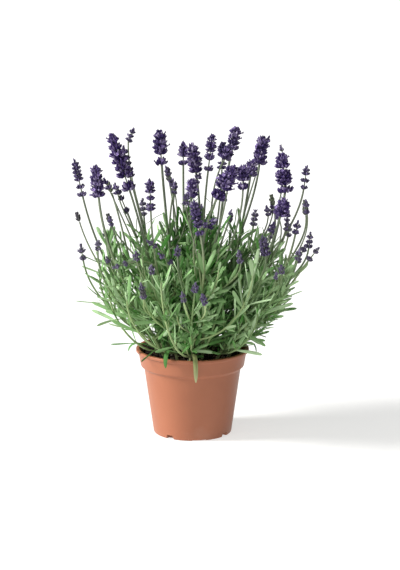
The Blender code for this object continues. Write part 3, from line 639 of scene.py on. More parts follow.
class Filler:
    # small leaves and shoots that grow on the plant's own stems, each clear of what is there already

    def __init__(self, plant):
        self.plant = plant
        self.rng = np.random.default_rng(filling["seed"])
        self.draw = self.rng.uniform
        self.leaves, self.shoots = [], []

    def tuftShare(self, root):
        # the share of the solids' leaves that get a tuft: less high up and at the left
        share = filling["tuftShare"] - 0.6 * np.clip((root[2] - 195) / 30, 0, 1)
        return share - 0.25 * np.clip(-root[0] / 90, 0, 1)

    def fits(self, points, radius, spray, own, ownStem=None):
        x, y, z = points[-1]
        edge = np.interp(z, foliageEdge["heights"], foliageEdge["radii"])
        airy = filling["thinning"] + filling["airyLeft"] * np.clip(-x / 100, 0, 1)
        airy += filling["airyTop"] * np.clip((z - 185) / 60, 0, 1)
        if np.hypot(x - filling["middle"], y) > edge * (1 - airy * self.rng.random()):
            return False
        x, y, z = points.T
        for left, right, highest in filling["clearings"]:
            if ((x > left) & (x < right) & (y < 10) & (z < highest)).any():
                return False
        if potRoom(points[1:], radius * 0.6) < 0:
            return False
        return self.plant.crowd.room(points, radius, spray, own, ownStem) > filling["touch"]

    def leaf(self, spray, root, way, side, size, width, droop, tries=3, stem=None):
        for attempt in range(tries):
            first = unit(way + self.rng.normal(0, 0.1 + 0.12 * attempt, 3))
            bend = unit(first - upward * (droop + self.rng.normal(0, 0.15)))
            controls = arc(root, first, bend, size)
            points = curvePoints(controls, 5)
            if self.fits(points, bladeRoom(width), spray, points[1:], stem):
                self.leaves.append({"spray": spray, "controls": controls, "width": width, "side": side})
                return

    def fillAxils(self):
        for leaf in self.plant.leaves:
            root, middle, _ = (np.array(c, float) for c in leaf["controls"])
            if self.rng.random() > self.tuftShare(root):
                continue
            outward, ahead, side = unit(middle - root), leaf["ahead"], leaf["side"]
            for _ in range(self.rng.integers(1, 4)):
                sideways = side * self.rng.normal(0, 0.45)
                way = unit(outward * self.draw(0.25, 0.8) + ahead + sideways)
                size = self.draw(*filling["tuftLength"])
                width = size * 0.07 + self.draw(1, 1.5)
                self.leaf(leaf["spray"], root + ahead * 0.4, way, side, size, width, 0, 3, leaf["stem"])

    def pairAt(self, stem, length, turn, size, width, angle):
        # two leaves that stand opposite, turned about the stem
        ahead = stem.direction(length)
        side = square(stem.reference, ahead)
        for half in (0, np.pi):
            facing = turned(side, ahead, turn + half)
            way = around((ahead, facing), angle + self.rng.normal(0, 0.08))
            droop = self.draw(-0.25, 0.35)
            root, across = stem.at(length) + facing * 0.5, np.cross(facing, ahead)
            long = size * self.draw(0.85, 1.1)
            self.leaf(stem.spray, root, way, across, long, width, droop, 4, stem.number)

    def fillStems(self):
        for stem in self.plant.stems:
            if not stem.bands:
                continue
            last = stem.bands[-1]
            first = growth["stemDepth"] + 5 if stem.parent is None else 6
            places = [(a + b) / 2 for a, b in zip([first] + list(stem.bands), stem.bands)]
            if stem.spike is not None:
                places += list(np.arange(last + 12, stem.length - 8, filling["highSpacing"]))
            for place in places:
                isHigh = place > last
                x, y, z = stem.at(place)
                if isHigh and z > filling["highest"] - 0.3 * np.hypot(x, y):
                    break
                if self.rng.random() > filling["highShare" if isHigh else "midLeaves"]:
                    continue
                size, turn = self.draw(*filling["midLength"]), self.draw(0, np.pi)
                width = 3.1 if isHigh else self.draw(2.6, 3.8)
                angle = self.draw(*((0.25, 0.5) if isHigh else (0.45, 0.85)))
                self.pairAt(stem, place, turn, size, width, angle)

    def shoot(self, spray, start, way, length, rise):
        # a leafy shoot with no flower: a cubic curve that leans out and turns up, with pairs of leaves
        for attempt in range(filling["shootTries"]):
            out = turned(way, upward, self.rng.normal(0, 0.25 + 0.2 * attempt))
            goal = start + out * length * np.cos(rise) + upward * length * np.sin(rise)
            low = start + unit(out + upward * 0.5) * 0.4 * length
            points = curvePoints((start, low, goal - upward * 0.3 * length, goal), 17)
            if self.fits(points[::4], 1.6, spray, points[4::4]):
                break
        else:
            return
        number = growth["fineNumber"] + len(self.shoots)
        reference = unit(unit(np.cross(out, upward)) + 1e-3)
        stem = Stem(number, spray, points, (0.85, 0.55), [], reference)
        self.plant.crowd.add(points[::4], 0.9, spray, number)
        self.shoots.append(stem)
        place, turn = self.draw(5, 9), self.draw(0, np.pi)
        while place < stem.length - 1:
            share = place / stem.length
            size = self.draw(21, 31) * (1 - 0.45 * share)
            self.pairAt(stem, place, turn, size, 2.7 + 1.2 * (1 - share), 0.62 - 0.2 * share)
            place += self.draw(6, 9.5)
            turn += np.pi / 2
        tip, ahead = stem.at(stem.length), stem.direction(stem.length)
        for k in range(4):
            facing = turned(unit(reference), ahead, turn + k * np.pi / 2)
            lean = ahead + facing * self.draw(0.12, 0.4)
            root, across = tip - unit(lean) * 0.6, np.cross(facing, ahead)
            self.leaf(spray, root, lean, across, self.draw(9, 16), 2.4, 0, 2, number)

    def growShoots(self):
        lowest = growth["stemDepth"] + 4
        for main in [s for s in self.plant.stems if s.parent is None]:
            for _ in range(filling["shootsEach"]):
                start = main.at(self.draw(lowest, max(lowest + 20, main.bands[-1])))
                outward = unit(start * [1, 1, 0] + self.rng.normal(0, 14, 3) * [1, 1, 0])
                length = self.draw(*filling["shootLength"])
                upright = 1.35 - 0.75 * np.hypot(*start[:2]) / 90
                self.shoot(main.spray, start, outward, length, upright + self.draw(-0.35, 0.15))

    def growLowShoots(self):
        # short shoots from the foot of the plant, which hide the soil and reach over the rim
        for number in range(filling["lowShoots"]):
            angle = number * filling["lowTurn"] + self.rng.normal(0, 0.2)
            outward = np.array([np.cos(angle), np.sin(angle), 0])
            x, y, _ = self.draw(*filling["lowReach"]) * outward
            start = np.array([x, y, soilHeight(x, y) - 1])
            spray = min(seats, key=lambda s: np.hypot(seats[s][0] - x, seats[s][1] - y))
            self.shoot(spray, start, outward, self.draw(*filling["lowLength"]), self.draw(0.45, 1.2))

    def growLateSpikes(self):
        # each on a thin stem from its spray's main stem: the clearest of some cubic curves
        crowd, thick = self.plant.crowd, 0.8
        for number, (spray, _, _, wide, _) in enumerate(lateSpikes):
            index = len(spikes) + number
            main = next(s for s in self.plant.stems if s.spray == spray)
            foot, tip = spikeEnds(index)
            headWay = unit(tip - foot)
            start = main.at(growth["stemDepth"] + 0.45 * (foot[2] - soilSizes["level"]))
            span = np.linalg.norm(foot - start)
            rise = unit(foot - start + upward * (span * 0.5))

            def make(attempt):
                low, high = self.rng.normal(0, 0.6 + 0.35 * attempt, (2, 3)) * [1, 1, 0.3]
                middles = start + rise * 0.35 * span + low, foot - headWay * 0.3 * span + high
                points = curvePoints((start, *middles, foot), 21)
                room = crowd.room(points[:-2:4], thick, spray, points[4:-2:4])
                return min(room, potRoom(points, thick)), points

            points = best(make, 24)[1]
            reference = unit(np.cross(headWay, [0.3, 0.9, 0.1]))
            stem = Stem(filling["lateNumber"] + number, spray, points, (1, 0.75), [], reference, index)
            crowd.add(points[::4], thick, spray, stem.number)
            crowd.add(np.array((foot, tip)), wide / 2, -100 - number, -1)
            self.shoots.append(stem)
            for place in np.arange(8, stem.length * 0.7, 13):
                self.pairAt(stem, place, self.draw(0, np.pi), self.draw(20, 30), 2.8, 0.5)

    def fill(self):
        self.growLateSpikes()
        self.fillStems()
        self.growShoots()
        self.growLowShoots()
        self.fillAxils()


# surfaces: rings carried along a path, for many pieces at once


def added(name, data, place=(0, 0, 0)):
    thing = bpy.data.objects.new(name, data)
    thing.location = place
    bpy.context.scene.collection.objects.link(thing)
    return thing


class Skin:
    # gathers tubes of rings, closed at both ends, and makes one mesh of them
    def __init__(self, name, *finishes):
        self.name, self.finishes = name, finishes
        self.points, self.corners, self.sizes, self.kinds = [], [], [], []
        self.notes = {"tone": [], "along": [], "pale": []}
        self.count = 0

    def tubes(self, points, finish, tone=0.5, pale=0):
        # points has items, rings, sides and x y z; each four neighbours make a face
        shape = points.shape[:3]
        index = np.arange(np.prod(shape)).reshape(shape) + self.count
        beside = np.roll(index, -1, axis=2)
        quads = np.stack([index[:, :-1], beside[:, :-1], beside[:, 1:], index[:, 1:]], -1).reshape(-1, 4)
        caps = np.concatenate([index[:, 0, ::-1], index[:, -1]])
        self.points.append(points.reshape(-1, 3))
        self.corners += [quads.ravel(), caps.ravel()]
        self.sizes += [np.full(len(quads), 4), np.full(len(caps), shape[2])]
        self.kinds.append(np.full(len(quads) + len(caps), self.finishes.index(finish)))
        along = np.linspace(0, 1, shape[1])[:, None]
        notes = {"tone": np.reshape(tone, (-1, 1, 1)), "along": along, "pale": pale}
        for name, values in notes.items():
            self.notes[name].append(np.broadcast_to(values, shape).ravel())
        self.count += index.size

    def build(self, replaced=(), crease=55):
        mesh = bpy.data.meshes.new(self.name)
        lists = (self.points, self.corners, self.sizes, self.kinds)
        points, corners, sizes, kinds = map(np.concatenate, lists)
        mesh.vertices.add(len(points))
        mesh.loops.add(len(corners))
        mesh.polygons.add(len(sizes))
        mesh.vertices.foreach_set("co", (points * mm).astype(np.float32).ravel())
        mesh.loops.foreach_set("vertex_index", corners.astype(np.int32))
        mesh.polygons.foreach_set("loop_start", (np.cumsum(sizes) - sizes).astype(np.int32))
        mesh.polygons.foreach_set("material_index", kinds.astype(np.int32))
        mesh.update(calc_edges=True)
        mesh.validate()
        mesh.shade_smooth()
        mesh.set_sharp_from_angle(angle=np.radians(crease))
        for name, values in self.notes.items():
            note = mesh.attributes.new(name, "FLOAT", "POINT")
            note.data.foreach_set("value", np.concatenate(values).astype(np.float32))
        for finish in self.finishes:
            mesh.materials.append(finishes[finish])
        piece = added(self.name, mesh)
        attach(piece, "root")
        if replaced:
            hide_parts(*replaced)
        return piece


leafForm = {
    "stations": (0, 0.06, 0.16, 0.34, 0.54, 0.72, 0.86, 0.95, 1),
    "widths": (0.42, 0.48, 0.64, 0.86, 0.98, 1, 0.92, 0.66, 0.2),
    "across": (1, 0.55, 0, -0.55, -1, -0.5, 0, 0.5),
    "above": (-0.12, 0.16, 0, 0.16, -0.12, -0.16, -0.36, -0.16),
    "pale": (0.4, 0, 0, 0, 0.4, 1, 1, 1),
}

# a slimmer section with fewer faces, for the many small leaves
slimForm = {
    "stations": (0, 0.14, 0.38, 0.64, 0.85, 0.96, 1),
    "widths": (0.42, 0.6, 0.92, 1, 0.9, 0.6, 0.2),
    "across": (1, 0, -1, -0.5, 0, 0.5),
    "above": (-0.08, 0.08, -0.08, -0.2, -0.38, -0.2),
    "pale": (0.4, 0, 0.4, 1, 1, 1),
}

petalForm = {
    "stations": (0, 0.35, 0.7, 0.92, 1),
    "widths": (0.45, 0.85, 1, 0.7, 0.2),
    "across": (1, 0, -1, 0),
    "above": (0.12, 0, 0.12, -0.22),
    "pale": (0.3, 0, 0.3, 1),
}


def blades(controls, widths, sides, form, twists):
    # point(t, s) = the quadratic curve of the controls at t
    #   + half the width at t * (across the blade * x(s) + above it * z(s)),
    # with the two ways turned by the twist * (0.4 + 0.6 t)
    t = np.array(form["stations"])[None, :, None]
    root, middle, tip = (controls[:, None, i] for i in range(3))
    path = root * (1 - t) ** 2 + middle * 2 * t * (1 - t) + tip * t**2
    way = units((middle - root) * (1 - t) + (tip - middle) * t)
    side = sides[:, None]
    side = units(side - way * (side * way).sum(2, keepdims=True))
    over = np.cross(way, side)
    turn = twists[:, None, None] * (0.4 + 0.6 * t)
    across, above = around((side, over), turn), around((over, -side), turn)
    half = widths[:, None, None, None] / 2 * np.array(form["widths"])[None, :, None, None]
    x = np.array(form["across"])[:, None]
    z = np.array(form["above"])[:, None]
    return path[:, :, None] + half * (across[:, :, None] * x + above[:, :, None] * z)


def squareTube(frames, radii, corners=8, squareness=4):
    # point(s, a) = centre(s) + radius(s) * (side cos a + up sin a) / (|cos a|^p + |sin a|^p)^(1/p)
    centres, sides, ups = (np.array([f[i] for f in frames]) for i in (0, 2, 3))
    a = np.arange(corners) / corners * 2 * np.pi
    fit = (np.abs(np.cos(a)) ** squareness + np.abs(np.sin(a)) ** squareness) ** (-1 / squareness)
    x, y = (np.cos(a) * fit)[:, None], (np.sin(a) * fit)[:, None]
    ring = sides[:, None] * x + ups[:, None] * y
    return (centres[:, None] + ring * radii[:, None, None])[None]


calyxForm = {
    "stations": (0, 0.18, 0.52, 0.82, 1),
    "radii": (0.36, 0.82, 1, 0.68, 0.18),
}

budForm = {
    "stations": (0, 0.35, 0.75, 1),
    "radii": (0.7, 1, 0.8, 0.2),
}

tubeForm = {
    "stations": (0, 0.5, 1),
    "radii": (0.7, 0.8, 1.1),
}


def frameAbout(ways):
    helper = np.where(np.abs(ways[..., 2:3]) < 0.9, [0, 0, 1], [1, 0, 0])
    first = units(np.cross(helper, ways))
    return first, np.cross(ways, first)


def ovoids(bases, ways, lengths, widths, form, sides, turns=0, ribs=0):
    # point(t, a) = base + way * length * t + (p cos a + q sin a) * half the width * radius(t)
    t = np.array(form["stations"])
    radius = np.array(form["radii"])[None, :, None] * widths[:, None, None] / 2
    a = np.arange(sides) / sides * 2 * np.pi + np.reshape(turns, (-1, 1))
    radius = radius * (1 + ribs * (np.arange(sides) % 2))
    p, q = frameAbout(ways)
    ring = around((p[:, None], q[:, None]), a[..., None])
    line = bases[:, None] + ways[:, None] * (lengths[:, None] * t)[..., None]
    return line[:, :, None] + ring[:, None] * radius[..., None]


# shader maths


def maths(operation, isSwapped=False):
    # an operator that adds one Math node
    def operator(self, other):
        pair = (other, self) if isSwapped else (self, other)
        return self.finish.node("Math", {"operation": operation}, dict(enumerate(pair)))

    return operator


class Wire:
    # a socket that takes part in arithmetic
    def __init__(self, finish, socket):
        self.finish, self.socket = finish, socket

    __add__, __radd__ = maths("ADD"), maths("ADD", True)
    __mul__, __rmul__ = maths("MULTIPLY"), maths("MULTIPLY", True)


finishes = {}


class Finish:
    # one material, whose colour is built up by short calls
    def __init__(self, name, specular, sheen=0):
        self.material = bpy.data.materials.new(name)
        self.material.use_nodes = True
        self.tree = self.material.node_tree
        self.shader = self.tree.nodes["Principled BSDF"]
        self.shader.inputs["Specular IOR Level"].default_value = specular
        self.shader.inputs["Sheen Weight"].default_value = sheen
        self.place = self.node("TexCoord", {}, {}, "Object")

    def node(self, kind, settings, inputs, output=0):
        made = self.tree.nodes.new("ShaderNode" + kind)
        for key, value in settings.items():
            setattr(made, key, value)
        for key, value in inputs.items():
            if isinstance(value, Wire):
                self.tree.links.new(value.socket, made.inputs[key])
            else:
                made.inputs[key].default_value = value
        return Wire(self, made.outputs[output])

    def notes(self, *names):
        return [self.node("Attribute", {"attribute_name": name}, {}, "Fac") for name in names]

    def height(self):
        return self.node("SeparateXYZ", {}, {"Vector": self.place}, "Z")

    def noise(self, scale, detail, stretch=None):
        place = self.place
        if stretch is not None:
            place = self.node("Mapping", {}, {"Vector": place, "Scale": (1, 1, stretch)})
        inputs = {"Vector": place, "Scale": scale, "Detail": detail, "Roughness": 0.55}
        return self.node("TexNoise", {}, inputs)

    def band(self, value, low, high):
        # 0 at low, 1 at high
        return self.node("MapRange", {"clamp": True}, {"Value": value, "From Min": low, "From Max": high})

    def ramp(self, value, *stops):
        wire = self.node("ValToRGB", {}, {"Fac": value})
        elements = wire.socket.node.color_ramp.elements
        while len(elements) < len(stops):
            elements.new(0.5)
        for element, (position, colour) in zip(elements, stops):
            element.position = position
            element.color = (*colour, 1)
        self.colour = wire

    def mix(self, first, second, share):
        # colours blended by a share
        colours = [c if isinstance(c, Wire) else (*c, 1) for c in (first, second)]
        return self.node("Mix", {"data_type": "RGBA"}, {0: share, 6: colours[0], 7: colours[1]}, 2)

    def tint(self, colour, share):
        self.colour = self.mix(self.colour, colour, share)

    def close(self, roughness, relief, strength, distance):
        normal = self.node("Bump", {}, {"Height": relief, "Strength": strength, "Distance": distance})
        for name, value in (("Base Color", self.colour), ("Roughness", roughness), ("Normal", normal)):
            self.tree.links.new(value.socket, self.shader.inputs[name])
        finishes[self.material.name] = self.material


# the stage's light and camera, with its places in metres

stage = {
    "floorSide": 60,
    "floorGlow": 0.63,
    "aim": (0.0086, 0, 0.1725),
    "camera": (0.0086, -2.4, 0.7),
    "lens": 135.7,
    "sun": (4.9, 16, (-0.84, -0.08, 0.54)),  # power, degrees across, and the way towards it
    "front": (1.45, 90, (-0.62, -0.72, 0.4)),
    "sky": 0.14,
}


# the finishes


# satin plastic with drawn streaks, specks, scuffs and dust towards the foot
plastic = Finish("terracottaPlastic", 0.3)
cloud, streak = plastic.noise(22, 4), plastic.noise(30, 3, 0.06)
spots = plastic.node("TexVoronoi", {}, {"Vector": plastic.place, "Scale": 900})
plastic.ramp(cloud * 0.6 + streak * 0.4, (0.3, (0.33, 0.116, 0.06)), (0.7, (0.375, 0.138, 0.073)))
clean = 0.55 + 0.45 * plastic.band(spots, 0.05, 0.16)
plastic.colour = plastic.mix((0.27, 0.094, 0.051), plastic.colour, clean)
dusty = plastic.band(plastic.noise(60, 5) + plastic.height() * -14, 0.35, 0.75)
plastic.tint((0.42, 0.23, 0.165), dusty * 0.3)
scuff = plastic.band(plastic.noise(140, 4, 0.3), 0.6, 0.78)
grain = plastic.noise(1500, 2) * 0.5 + streak * 0.6 + scuff * 0.25
plastic.close(0.36 + cloud * 0.12 + scuff * 0.18, grain, 0.22, 0.0006)

# damp peat, nearly black with brown flecks
peat = Finish("moistPeat", 0.25)
cloud, fine = peat.noise(120, 5), peat.noise(900, 4)
peat.ramp(cloud * 0.5 + fine * 0.5, (0.35, (0.006, 0.004, 0.003)), (0.62, (0.03, 0.019, 0.012)),
          (0.78, (0.085, 0.058, 0.038)))
peat.close(0.72 + fine * 0.25, fine + cloud, 0.9, 0.0012)

# crumbs from near-black peat to brown bark, by the tone of each
crumb = Finish("peatCrumb", 0.25)
(tone,), fine = crumb.notes("tone"), crumb.noise(1400, 4)
crumb.ramp(tone, (0, (0.008, 0.005, 0.004)), (0.6, (0.03, 0.018, 0.011)), (0.88, (0.11, 0.065, 0.038)),
           (1, (0.3, 0.24, 0.18)))
crumb.tint((0.015, 0.009, 0.006), crumb.band(fine, 0.45, 0.7) * 0.6)
crumb.close(0.75 + fine * 0.2, fine, 0.8, 0.0008)

# off-white grains
perlite = Finish("perlite", 0.3)
fine = perlite.noise(1800, 3)
perlite.ramp(fine, (0.35, (0.42, 0.38, 0.33)), (0.65, (0.72, 0.7, 0.66)))
perlite.close(0.8 + fine * 0.1, fine, 0.7, 0.0006)

# grey-green above with a paler rib, felted and paler beneath, by the tone of each leaf, which also holds
# painted shade and painted light by the leaf's place, and straw when dry
leaf = Finish("leafGreen", 0.12, 0.02)
tone, along, pale = leaf.notes("tone", "along", "pale")
patch, felt = leaf.noise(260, 3), leaf.noise(2600, 3)
leaf.ramp(tone, (0, (0.018, 0.092, 0.01)), (0.3, (0.064, 0.235, 0.034)), (0.65, (0.23, 0.408, 0.164)),
          (1, (0.43, 0.585, 0.35)))
leaf.tint((0.3, 0.45, 0.23), leaf.band(patch, 0.45, 0.75) * tone * 0.5)
leaf.tint((0.27, 0.42, 0.19), pale * (tone * 0.5 + 0.1))
leaf.tint((0.36, 0.42, 0.15), leaf.band(along, 0.3, 0) * 0.35)
leaf.tint((0.5, 0.62, 0.42), leaf.band(felt, 0.5, 0.8) * tone * 0.5)
straw = leaf.mix((0.23, 0.24, 0.09), (0.44, 0.43, 0.24), leaf.band(along, 0.6, 0.95))
leaf.tint(straw, leaf.band(tone, 1.2, 1.8) * 0.8)
leaf.close(0.6 + felt * 0.3, felt * 0.6 + patch * 0.4, 0.35, 0.0005)

# pale green with fine ridges along it, woody near the soil and darker up where it bears the flowers
stalk = Finish("stemGreen", 0.2, 0.06)
(tone,), grain, felt = stalk.notes("tone"), stalk.noise(420, 4, 0.12), stalk.noise(2400, 2)
stalk.ramp(tone, (0, (0.06, 0.12, 0.04)), (0.5, (0.17, 0.27, 0.1)), (1, (0.42, 0.52, 0.24)))
stalk.tint((0.3, 0.4, 0.2), stalk.band(grain, 0.4, 0.7) * 0.4)
stalk.tint((0.15, 0.172, 0.13), stalk.band(stalk.height(), 0.175, 0.235) * (0.6 + grain * 0.5))
stalk.tint((0.22, 0.17, 0.085), stalk.band(stalk.height() + grain * 0.02, 0.122, 0.094) * 0.6)
stalk.close(0.6 + felt * 0.25, grain + felt * 0.3, 0.45, 0.0005)

# deep violet calyces, darker at the foot, with pale down, greyer in the small spikes
calyx = Finish("calyxViolet", 0.12, 0.02)
tone, along, pale = calyx.notes("tone", "along", "pale")
patch, down = calyx.noise(520, 3), calyx.noise(3200, 3)
calyx.ramp(tone, (0, (0.007, 0.001, 0.05)), (0.45, (0.063, 0.037, 0.15)), (0.75, (0.205, 0.16, 0.31)),
           (1, (0.43, 0.37, 0.54)))
calyx.tint((0.165, 0.155, 0.195), pale * 0.75)
calyx.tint((0.048, 0.046, 0.06), calyx.band(along, 0.45, 0) * 0.5)
calyx.tint((0.12, 0.085, 0.22), calyx.band(patch, 0.5, 0.75) * 0.35)
calyx.tint((0.19, 0.15, 0.31), calyx.band(down, 0.55, 0.78) * 0.3)
calyx.close(0.65 + down * 0.25, down + patch, 0.5, 0.0005)

# lilac petals, darker at the foot, with fine veins
petal = Finish("petalLilac", 0.25, 0.1)
(tone, along), vein = petal.notes("tone", "along"), petal.noise(1500, 3)
petal.ramp(tone, (0, (0.085, 0.055, 0.19)), (1, (0.26, 0.19, 0.42)))
petal.colour = petal.mix((0.075, 0.045, 0.17), petal.colour, petal.band(along, 0, 0.55))
petal.tint((0.36, 0.28, 0.5), petal.band(vein, 0.5, 0.8) * 0.3)
petal.close(0.55 + vein * 0.2, vein, 0.3, 0.0004)

# grey-green to grey-violet by tone, with dusky tips
bud = Finish("budGreen", 0.18, 0.08)
(tone, along), down = bud.notes("tone", "along"), bud.noise(3000, 3)
bud.ramp(tone, (0, (0.07, 0.062, 0.085)), (0.5, (0.12, 0.145, 0.095)), (1, (0.24, 0.3, 0.17)))
bud.tint((0.075, 0.06, 0.105), bud.band(along, 0.5, 1) * 0.6)
bud.tint((0.34, 0.37, 0.29), bud.band(down, 0.5, 0.8) * 0.3)
bud.close(0.65 + down * 0.2, down, 0.5, 0.0005)

# the floor, which glows a little so that it stays nearly white
ground = Finish("paleFloor", 0.2)
ground.shader.inputs["Emission Color"].default_value = (1, 1, 0.99, 1)
ground.shader.inputs["Emission Strength"].default_value = stage["floorGlow"]
cloud = ground.noise(3, 2)
ground.ramp(cloud, (0.3, (0.5, 0.5, 0.497)), (0.7, (0.53, 0.53, 0.527)))
ground.close(0.75 + cloud * 0.1, cloud, 0.02, 0.001)


print("finishes made")


# the pot


def potInside(height):
    p = potSizes
    heights = (p["floor"], p["shoulder"] + 0.5, p["collarFoot"] + 1, p["height"])
    outer = (p["footRadius"], p["wallTopRadius"], p["collarFootRadius"], p["collarTopRadius"])
    return np.interp(height, heights, outer) - p["wall"]


def roundedLine(corners, steps=5):
    # an outline whose corners are r, z and how far from the corner its round begins
    spots = np.array([c[:2] for c in corners], float)
    found = [spots[0]]
    for before, corner, after, (_, _, ease) in zip(spots, spots[1:], spots[2:], corners[1:-1]):
        if ease == 0:
            found.append(corner)
            continue
        start = corner + unit(before - corner) * ease
        end = corner + unit(after - corner) * ease
        t = np.linspace(0, 1, steps)[:, None]
        found += list(start * (1 - t) ** 2 + corner * 2 * t * (1 - t) + end * t**2)
    found.append(spots[-1])
    return np.array(found)


def denser(line, longest):
    # the same outline, with points added so that no stretch is longer than this
    found = [line[0]]
    for a, b in zip(line, line[1:]):
        parts = max(1, int(np.ceil(np.linalg.norm(b - a) / longest)))
        found += [a + (b - a) * k / parts for k in range(1, parts + 1)]
    return np.array(found)


def turnedTube(line, sides):
    # point(k, a) = (r(k) cos a, r(k) sin a, z(k))
    a = np.arange(sides) / sides * 2 * np.pi
    r, z = line[:, :1], line[:, 1:]
    return np.stack([r * np.cos(a), r * np.sin(a), z + 0 * a], -1)[None]


def potLine():
    # from the middle of the underside out, up the outside, over the rim and down the inside to the floor
    p = potSizes
    lip, wall, under = p["rimRadius"], p["wall"], 1.4
    corners = [
        (0.4, 0, 0), (p["standingDisc"], 0, 0.3), (p["standingDisc"] + 1.5, under, 0.3),
        (32, under, 0.3), (33.5, 0, 0.4), (p["footRadius"] - 0.9, 0, 0.3), (p["footRadius"], 0.9, 0.5),
        (p["wallTopRadius"], p["shoulder"], 0.8), (p["collarFootRadius"] - 0.4, p["collarFoot"] - 0.5, 0.5),
        (p["collarFootRadius"], p["collarFoot"] + 0.3, 0.4),
        (p["collarTopRadius"], p["rimFoot"], 0.7), (lip, p["rimFoot"] + 1, 0.5),
        (lip, p["height"], 0.9), (potInside(p["height"]), p["height"], 0.7),
        (potInside(p["collarFoot"] + 1), p["collarFoot"] + 1, 1),
        (potInside(p["shoulder"] + 0.5), p["shoulder"] + 0.5, 1),
        (p["footRadius"] - wall, p["floor"], 1.6), (0.4, p["floor"], 0),
    ]
    return denser(roundedLine(corners, 4), 9)


def notchCutter():
    # four drainage notches through the corner of wall and floor, with a low arch between each two
    work = bmesh.new()
    for turn in range(8):
        wide, deep, tall = potSizes[("notch", "arch")[turn % 2]]
        angle = np.radians(-90 + potSizes["notchTurn"] + 45 * turn)
        for vert in bmesh.ops.create_cube(work, size=1)["verts"]:
            isTop = vert.co.z > 0
            across = vert.co.x * wide * (0.7 if isTop else 1)
            out = potSizes["footRadius"] + vert.co.y * deep
            x = out * np.cos(angle) - across * np.sin(angle)
            y = out * np.sin(angle) + across * np.cos(angle)
            vert.co = (x * mm, y * mm, (tall if isTop else -1) * mm)
    bmesh.ops.recalc_face_normals(work, faces=work.faces)
    mesh = bpy.data.meshes.new("notchCutter")
    work.to_mesh(mesh)
    work.free()
    return added("notchCutter", mesh)


def makePot():
    skin = Skin("nursery_pot", "terracottaPlastic")
    skin.tubes(turnedTube(potLine(), potSizes["sides"]), "terracottaPlastic")
    pot = skin.build(["pot"], crease=potSizes["crease"])
    cutter = notchCutter()
    cut = pot.modifiers.new("notches", "BOOLEAN")
    cut.operation = "DIFFERENCE"
    cut.object = cutter
    graph = bpy.context.evaluated_depsgraph_get()
    mesh = bpy.data.meshes.new_from_object(pot.evaluated_get(graph))
    pot.modifiers.clear()
    pot.data = mesh
    bpy.data.objects.remove(cutter)
    mesh.set_sharp_from_angle(angle=np.radians(potSizes["crease"]))


# the soil

crumbSizes = {
    "seed": 33,
    "edge": 3.4,  # the ring by the wall that they keep off
    # each kind: finish, count, least and most half size, flatness, tones, share of the bank's height, and
    # for the bank the sector with its inner edge
    "kinds": (
        ("peatCrumb", 1900, 0.7, 2.1, 0.75, (0, 0.85), 1),
        ("peatCrumb", 120, 1.6, 3.2, 0.45, (0.72, 1), 1),
        ("perlite", 55, 0.7, 1.5, 0.85, (0, 1), 1),
        ("peatCrumb", 80, 3, 4.6, 0.8, (0, 0.4), 0.45, (0.3, 0.6), 0.55),
        ("peatCrumb", 480, 0.9, 2.2, 0.8, (0, 0.6), 1, (0.3, 0.6), 0.55),
    ),
    "fibres": 90,
}


def roughHeight(x, y):
    # the soil's low waves and three finer ones, crossed at odd angles
    fine = 0.5 * np.sin(0.61 * x + 0.37 * y) * np.cos(0.47 * y - 0.29 * x)
    fine += 0.32 * np.sin(1.27 * x - 0.83 * y + 1.1) * np.cos(1.03 * y + 0.51 * x)
    fine += 0.2 * np.sin(2.3 * x + 1.9 * y) * np.cos(2.1 * y - 1.7 * x)
    return soilHeight(x, y) + fine - 0.2


def bankHeight(x, y):
    # loose peat banked against the wall at the left: 10.5 exp(-((x + 55) / 17)^2 - ((y - 14) / 34)^2)
    return 10.5 * np.exp(-(((x + 55) / 17) ** 2) - ((y - 14) / 34) ** 2)


def makeSoilBed():
    # rings from the middle of the underside out, up the wall and over the lumpy top back to the middle
    p, rings, turns = potSizes, soilSizes["rings"], soilSizes["turns"]
    gap = growth["seatGap"]
    a = np.arange(turns) / turns * 2 * np.pi
    side = [(0.5, p["floor"] + gap), (p["footRadius"] - p["wall"] - 1.7, p["floor"] + gap)]
    for height in (p["floor"] + 1.5, p["shoulder"] + 0.5, p["collarFoot"] + 1):
        side.append((potInside(height) - gap - 0.1, height))
    lower = turnedTube(denser(np.array(side), 12), turns)[0]
    edge = potInside(soilSizes["level"]) - gap
    r = np.linspace(edge, 0.5, rings)[:, None]
    x, y = r * np.cos(a), r * np.sin(a)
    top = np.stack([x, y, roughHeight(x, y)], -1)
    skin = Skin("soil_bed", "moistPeat")
    skin.tubes(np.concatenate([lower, top])[None], "moistPeat")
    skin.build(["soil"])


def lumps(centres, halves, rng, rings=4, sides=5):
    # point(b, a) = centre + turned frame * half sizes * (cos a sin b, sin a sin b, cos b) * a rough radius
    count = len(centres)
    b = (np.linspace(0.02, 1, rings) * 0.96 * np.pi)[:, None]
    a = np.arange(sides) / sides * 2 * np.pi
    ball = np.stack([np.cos(a) * np.sin(b), np.sin(a) * np.sin(b), -np.cos(b) + 0 * a], -1)
    rough = rng.uniform(0.72, 1.18, (count, rings, sides, 1))
    first = units(rng.normal(0, 1, (count, 3)))
    second = units(np.cross(first, rng.normal(0, 1, (count, 3))))
    frames = np.stack([first, second, np.cross(first, second)], 1)
    shaped = ball[None] * rough * halves[:, None, None]
    return centres[:, None, None] + np.einsum("nrsk,nkj->nrsj", shaped, frames)


def scattered(rng, count, edge, turns=(0, 1), inner=0):
    # places on the soil, even over its area or over a sector of it
    angle = rng.uniform(*turns, count) * 2 * np.pi
    radius = edge * np.sqrt(rng.uniform(inner**2, 1, count))
    return radius * np.cos(angle), radius * np.sin(angle)


